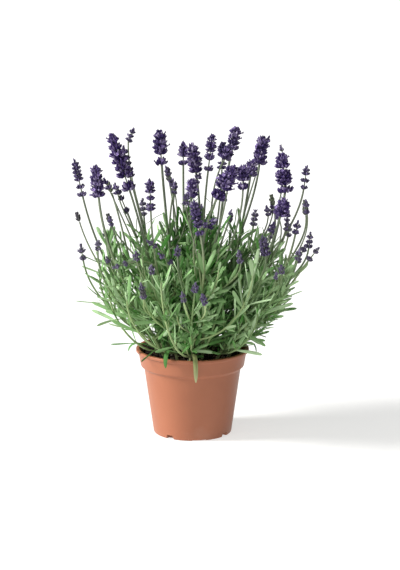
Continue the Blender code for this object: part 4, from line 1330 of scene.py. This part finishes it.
def makeCrumbs():
    rng = np.random.default_rng(crumbSizes["seed"])
    edge = potInside(soilSizes["level"]) - crumbSizes["edge"]
    skin = Skin("soil_crumbs", "peatCrumb", "perlite")
    for finish, count, low, high, flat, tones, banked, *sector in crumbSizes["kinds"]:
        x, y = scattered(rng, count, edge, *sector)
        size = low + (high - low) * rng.random(count) ** 2.2
        centres = np.stack([x, y, roughHeight(x, y) + bankHeight(x, y) * banked + size * 0.35], -1)
        shares = np.stack([np.ones(count), rng.uniform(0.6, 1, count), np.full(count, flat)], -1)
        skin.tubes(lumps(centres, size[:, None] * shares, rng), finish, rng.uniform(*tones, count))
    count = crumbSizes["fibres"]
    x, y = scattered(rng, count, edge - 3)
    turn, lean = rng.uniform(0, 2 * np.pi, count), rng.uniform(-0.1, 0.3, count)
    ways = units(np.stack([np.cos(turn), np.sin(turn), lean], -1))
    lengths, widths = rng.uniform(4, 10, count), rng.uniform(0.35, 0.8, count)
    bases = np.stack([x, y, roughHeight(x, y) + 0.7], -1) - ways * lengths[:, None] / 2
    skin.tubes(ovoids(bases, ways, lengths, widths, budForm, 5), "peatCrumb", rng.uniform(0.7, 1, count))
    skin.build(crease=30)


# the sprays

spraySizes = {
    "ringEvery": 4.5,
    "nodeRings": np.array([-2.4, -1, 0, 1, 2.4]),  # the rings about a node
    "nodeSwell": 0.35,
    "thickness": 0.93,  # of the solid's radius, and more for each mm of the head that it bears
    "buried": 7,  # of the stem's foot, as the rest of it can't be seen
    "paleSprays": {9: 1, 5: 0.75, 12: 0.7, 2: 0.6, 16: 0.7},
    "pale": 0.45,  # the tone of the other main stems
    "seed": 8,
}

# how pale a leaf is: at the middle, and more or less outside, high up, low down and at the right, with a
# random spread. Painted shade darkens the leaves deep within and low down; the paler leaves high up and at
# the right, where the sun leaves shade, are painted light; the paler ones outside are partly young growth
# and partly painted light
leafToneAndPaintedShade = {
    "middle": 0.09,
    "outer": 0.64,
    "high": 0.06,
    "low": -0.11,
    "right": 0.12,
    "spread": 0.2,
}


def stemRings(stem, every):
    # lengths along the stem, closer at its nodes, where it swells
    low = 0 if stem.isFine or stem.parent else growth["stemDepth"] - spraySizes["buried"]
    marks = [np.arange(low, stem.length, every), [stem.length]]
    marks += [band + spraySizes["nodeRings"] for band in stem.bands]
    found = np.unique(np.round(np.clip(np.concatenate(marks), low, stem.length), 2))
    return found[np.append(True, np.diff(found) > 0.5)]


def stemSkin(skin, stem, tone):
    lengths = stemRings(stem, spraySizes["ringEvery"] * (1.6 if stem.isFine else 1))
    frames = stem.framesAt(lengths, stem.reference)
    width = 8 if stem.spike is None else allSpikes[stem.spike][3]
    radii = np.array([f[4] for f in frames]) * (spraySizes["thickness"] + 0.02 * width)
    for band in stem.bands:
        radii *= 1 + spraySizes["nodeSwell"] * np.exp(-(((lengths - band) / 1.5) ** 2))
    skin.tubes(squareTube(frames, radii, 6 if stem.isFine else 8), "stemGreen", tone)


def greenBud(skin, stem, rng):
    # a spike that hasn't opened: tiers of small calyces that stand close round a slim core
    foot, tip = spikeEnds(stem.spike)
    width = allSpikes[stem.spike][3]
    way, length = unit(tip - foot), np.linalg.norm(tip - foot)
    tiers = max(3, int(round(length / 4)))
    spots = []
    for tier in range(tiers):
        share = (tier + 0.2) / tiers
        swell = np.sin(np.pi * (0.3 + 0.5 * share)) * width / 2 * rng.uniform(0.8, 1.15)
        count = 6 if share < 0.7 else 5
        for k in range(count):
            angle = (k + 0.5 * (tier % 2) + rng.uniform(-0.2, 0.2)) / count * 2 * np.pi
            out = around(frameAbout(way), angle)
            lean = unit(way + out * rng.uniform(0.35, 0.75) * (1.2 - share))
            base = foot + way * length * share * 0.86 + out * swell * 0.25
            spots.append((base, lean, min(length / tiers * 1.25 + 0.8, 5.5), max(1.4, swell * 0.8)))
    tone = np.clip(rng.uniform(0, 0.6) + rng.normal(0, 0.12, len(spots)), 0, 1)
    skin.tubes(ovoids(*map(np.array, zip(*spots)), calyxForm, 6), "budGreen", tone)
    core = ovoids(foot[None], way[None], np.array([length * 0.88]), np.array([width * 0.36]), calyxForm, 8)
    skin.tubes(core, "budGreen", 0.2)


def leafSkin(skin, leaves, form, rng):
    kinds = ("controls", "width", "side")
    controls, widths, sides = (np.array([leaf[kind] for leaf in leaves]) for kind in kinds)
    x, y, z = controls[:, 2].T
    twists = rng.normal(0, 0.7, len(leaves)) * np.array(["tone" not in leaf for leaf in leaves])
    # tone by place: painted shade within and low down, painted light high up and at the right, and outside
    # partly painted light and partly young growth
    places = {
        "outer": np.hypot(x - filling["middle"], y) / 115,
        "high": np.clip((z - 185) / 70, 0, 1),
        "low": np.clip((135 - z) / 40, 0, 1),
        "right": np.clip(x / 90, 0, 1),
    }
    tones = leafToneAndPaintedShade["middle"]
    for place, share in places.items():
        tones = tones + leafToneAndPaintedShade[place] * share
    tones = np.clip(tones + rng.normal(0, leafToneAndPaintedShade["spread"], len(leaves)), 0, 1)
    tones = [leaf.get("tone", tone) for leaf, tone in zip(leaves, tones)]
    skin.tubes(blades(controls, widths, sides, form, twists), "leafGreen", tones, np.array(form["pale"]))


def makeSprays(plant, filler):
    rng = np.random.default_rng(spraySizes["seed"])
    for spray in seats:
        skin = Skin(f"leafy_spray_{spray:02d}", "stemGreen", "leafGreen", "budGreen")
        pale = spraySizes["paleSprays"].get(spray, spraySizes["pale"])
        for stem in [s for s in plant.stems + filler.shoots if s.spray == spray]:
            stemSkin(skin, stem, pale if stem.parent is None else rng.uniform(0.25, 0.8))
            if stem.spike is None and not stem.isFine:
                shootTip(filler, stem)
            elif stem.spike is not None and allSpikes[stem.spike][4] == "bud":
                greenBud(skin, stem, rng)
        for source, form in ((plant.leaves, leafForm), (filler.leaves, slimForm)):
            leafSkin(skin, [leaf for leaf in source if leaf["spray"] == spray], form, rng)
        skin.build([f"spray_{spray:02d}"])


def shootTip(filler, stem):
    # the young leaves that end a shoot of the solids, standing close round its tip
    ahead, tip = stem.direction(stem.length), stem.at(stem.length)
    for k in range(6):
        facing = turned(square(stem.reference, ahead), ahead, k * 1.1)
        lean = unit(ahead + facing * (0.12 + 0.07 * k))
        controls = np.array((tip, tip + lean * 6, tip + lean * (13 - k)))
        leaf = {"spray": stem.spray, "controls": controls, "width": 2.2, "side": np.cross(facing, ahead)}
        filler.leaves.append(leaf)


# the flower heads

headSizes = {
    "lift": 0.75,  # how far florets rise for each step outwards, as in the solids
    "wide": 13,  # a wider head has fuller whorls, or a taper when it is long, and open flowers
    "long": 6,  # marks in its pattern
    "tapers": (0.12, 0.36),  # of most heads and of the long wide ones
    "swells": (0.94, 1.02, 1.1),  # of the whorls below a bare stretch, of most whorls and of wide heads'
    "lowFoot": 235,  # a head that starts lower than this is darker and greyer
    # each tier: florets fewer than in the first, how steep they are, their reach and their level
    "tiers": ((0, 0.5, 1, 0.36), (1, 0.86, 0.84, 0.72), (3, 1.2, 0.5, 1)),
    "calyxLength": (4, 6.2),
    "smallCalyx": (3.3, 4.5),
    "smallReach": 6.3,
    "calyxWidth": 0.46,  # of its length
    "leastWidth": 1.95,
    "tones": (0.28, 0.48),  # the middle tone of a head
    "toneSpread": 0.27,
    "grey": (0.3, 1),
    "budShare": (0, 0.3),
    "openShare": 0.05,
    "seed": 13,
}


def whorl(spots, foot, way, frame, low, high, reach, rng, lift):
    # the florets of one whorl, by where each ends: a spread tier, a steeper one and an upright one within
    isSmall = reach < headSizes["smallReach"]
    limits = headSizes["smallCalyx" if isSmall else "calyxLength"]
    if isSmall:
        high = low + (high - low) * 0.62
    full = int(np.clip(round(reach * 1.5), 6, 13))
    for tier, (fewer, rise, share, level) in enumerate(headSizes["tiers"]):
        count = full - fewer
        turn = rng.uniform(0, 2 * np.pi)
        for k in range(count):
            out = around(frame, turn + (k + rng.uniform(-0.25, 0.25)) / count * 2 * np.pi)
            lean = rise + lift + rng.normal(0, 0.1)
            axis = around((out, way), lean)
            radius = reach * share * rng.uniform(0.88, 1.1)
            size = np.clip((radius - 0.4) / np.cos(min(lean, 1.3)), *limits) * rng.uniform(0.9, 1.08)
            end = foot + way * (low + (high - low) * (level + rng.uniform(-0.1, 0.1)) + 1) + out * radius
            spots.append((end - axis * size, axis, size, tier))


def makeHead(skin, index, rng):
    foot, tip = spikeEnds(index)
    wide, pattern = allSpikes[index][3:]
    isWide, isLow = wide > headSizes["wide"], foot[2] < headSizes["lowFoot"]
    way = unit(tip - foot)
    frame = frameAbout(way)
    top = np.linalg.norm(tip - foot) - (headSizes["lift"] * wide * 0.22 + 1.5)
    isTapered = isWide and len(pattern) > headSizes["long"]
    taper = headSizes["tapers"][isTapered]
    spots, bracts = [], []
    for k, mark in enumerate(pattern):
        if mark != "o":
            continue
        isBelow = "." in pattern[k:]
        isLone = isBelow and pattern[k + 1] == "." and "o" not in pattern[max(k - 1, 0) : k]
        swell = headSizes["swells"][0 if isBelow else 1 + (isWide and not isTapered)]
        share = (k + 0.5) / len(pattern)
        swell = (swell - taper * max(0, (share - 0.45) / 0.55) ** 1.5) * rng.uniform(0.92, 1.1)
        low, high = top * k / len(pattern), top * (k + (1.25 if isLone else 1)) / len(pattern)
        whorl(spots, foot, way, frame, low, high, wide / 2 * swell, rng, 0.18 * isLone)
        bracts.append((low + 0.2, wide / 2 * swell))
    crown = 4 if wide < 12 else 8
    for k in range(crown):
        out = around(frame, (k + rng.uniform(-0.2, 0.2)) / crown * 2 * np.pi)
        axis = unit(way + out * rng.uniform(0.2, 0.75))
        size = rng.uniform(3.4, 4.8) + 0.06 * wide
        aside = rng.uniform(0.05, 0.22 if wide < 12 or isTapered else 0.34)
        end = tip - way * (rng.uniform(-0.9, 1.2) + 5 * aside) + out * wide * aside
        spots.append((end - axis * size, axis, size, 2))
    bases, ways, sizes, tiers = map(np.array, zip(*spots))
    count = len(spots)
    middle = rng.uniform(*headSizes["tones"]) + 0.12 * isWide - 0.06 * isLow
    tones = np.clip(rng.normal(middle, headSizes["toneSpread"], count), 0, 1)
    widths = np.maximum(sizes * headSizes["calyxWidth"], headSizes["leastWidth"])
    widths *= rng.uniform(0.88, 1.12, count)
    turns = rng.uniform(0, 1, count)
    grey = min(1, rng.uniform(*headSizes["grey"]) + 0.3 * isLow)
    grey *= np.clip(1.3 - wide / headSizes["wide"] + 0.4 * isLow, 0, 1)
    skin.tubes(ovoids(bases, ways, sizes, widths, calyxForm, 6, turns, 0.06), "calyxViolet", tones, grey)
    opening = rng.random(count)
    ends = bases + ways * sizes[:, None] * 0.8
    isBud = opening < rng.uniform(*headSizes["budShare"])
    buds = ovoids(ends[isBud], ways[isBud], sizes[isBud] * 0.32, widths[isBud] * 0.62, budForm, 5)
    skin.tubes(buds, "petalLilac", tones[isBud] * 0.6)
    isOpen = (opening > 1 - headSizes["openShare"]) & (tiers < 2) & (wide >= headSizes["wide"])
    if isOpen.any():
        openFlowers(skin, ends[isOpen], ways[isOpen], widths[isOpen], rng)
    # the spike's own stem, seen between its whorls
    frames = [(foot + way * s, way, *frame) for s in np.linspace(0, top * 0.97, 8)]
    skin.tubes(squareTube(frames, np.linspace(0.85, 0.5, 8)), "stemGreen", rng.uniform(0.15, 0.5))
    bractPairs(skin, foot, way, frame, bracts, rng)


def openFlowers(skin, ends, ways, widths, rng):
    # a short tube and five spread lobes, two up and three down
    count, size = len(ends), 2.4
    tone = rng.uniform(0.4, 1, count)
    throats = ovoids(ends, ways, np.full(count, size), widths * 0.62, tubeForm, 6)
    skin.tubes(throats, "petalLilac", tone * 0.7)
    mouths = ends + ways * size
    frame = frameAbout(ways)
    for k in range(5):
        out = around(frame, k * 2 * np.pi / 5 + 0.3)
        length = (1.9 if k < 2 else 1.5) * rng.uniform(0.85, 1.15, count)[:, None]
        middle = mouths + (out * 0.5 + ways * 0.35) * length
        controls = np.stack([mouths, middle, middle + (out * 0.6 + ways * 0.1) * length], 1)
        petals = blades(controls, length[:, 0] * 0.95, np.cross(out, ways), petalForm, np.zeros(count))
        skin.tubes(petals, "petalLilac", tone, np.array(petalForm["pale"]))


def bractPairs(skin, foot, way, frame, bracts, rng):
    # two small papery bracts under each whorl
    controls, sides = [], []
    for low, reach in bracts:
        turn = rng.uniform(0, np.pi)
        for half in (0, np.pi):
            out = around(frame, turn + half)
            root = foot + way * low + out * 0.5
            middle = root + (out * 0.8 + way * 0.3) * min(reach, 5) * 0.4
            controls.append((root, middle, middle + (out * 0.5 + way * 0.7) * min(reach, 5) * 0.4))
            sides.append(np.cross(out, way))
    count = len(sides)
    papers = blades(np.array(controls), np.full(count, 2.6), np.array(sides), petalForm, np.zeros(count))
    skin.tubes(papers, "budGreen", 0.4)


def makeHeads():
    rng = np.random.default_rng(headSizes["seed"])
    for spray in seats:
        blooms = [i for i in spikesOf(spray) if spikes[i][4] != "bud"]
        late = [len(spikes) + n for n, spike in enumerate(lateSpikes) if spike[0] == spray]
        skin = Skin(f"flower_spikes_{spray:02d}", "calyxViolet", "petalLilac", "stemGreen", "budGreen")
        for index in blooms + late:
            makeHead(skin, index, rng)
        skin.build([f"flower_head_{spray:02d}_{n + 1}" for n in range(len(blooms))])


# the stage


def aimed(thing, target):
    away = np.array(thing.location) - np.array(target)
    thing.rotation_mode = "QUATERNION"
    thing.rotation_quaternion = Vector(away).to_track_quat("Z", "Y")


def addSun(name, power, angle, way):
    light = bpy.data.lights.new(name, "SUN")
    light.energy = power
    light.angle = np.radians(angle)
    light.color = (1, 0.99, 0.97)
    aimed(added(name, light, way), (0, 0, 0))


def makeStage():
    scene, half = bpy.context.scene, stage["floorSide"] / 2
    mesh = bpy.data.meshes.new("floor")
    corners = [(x * half, y * half, 0) for x, y in ((-1, -1), (1, -1), (1, 1), (-1, 1))]
    mesh.from_pydata(corners, [], [(0, 1, 2, 3)])
    mesh.materials.append(finishes["paleFloor"])
    added("floor", mesh, (0, 0, -0.0002))
    addSun("softSun", *stage["sun"])
    addSun("softFront", *stage["front"])
    scene.world = bpy.data.worlds.new("studio")
    scene.world.use_nodes = True
    sky = scene.world.node_tree.nodes["Background"].inputs
    sky["Color"].default_value = (1, 1, 1, 1)
    sky["Strength"].default_value = stage["sky"]
    camera = bpy.data.cameras.new("camera")
    camera.lens = stage["lens"]
    camera.sensor_width = 36
    camera.clip_end = 100
    scene.camera = added("camera", camera, stage["camera"])
    aimed(scene.camera, stage["aim"])
    scene.view_settings.view_transform = "Standard"


# all of it

makeStage()
makePot()
makeSoilBed()
makeCrumbs()
print("pot and soil made")
plant = Plant()
plant.grow()
print(f"plant grown: {len(plant.stems)} stems, {len(plant.leaves)} leaves")
filler = Filler(plant)
filler.fill()
print(f"filled: {len(filler.shoots)} more shoots, {len(filler.leaves)} more leaves")
makeSprays(plant, filler)
makeHeads()
print("sprays and flower heads made")
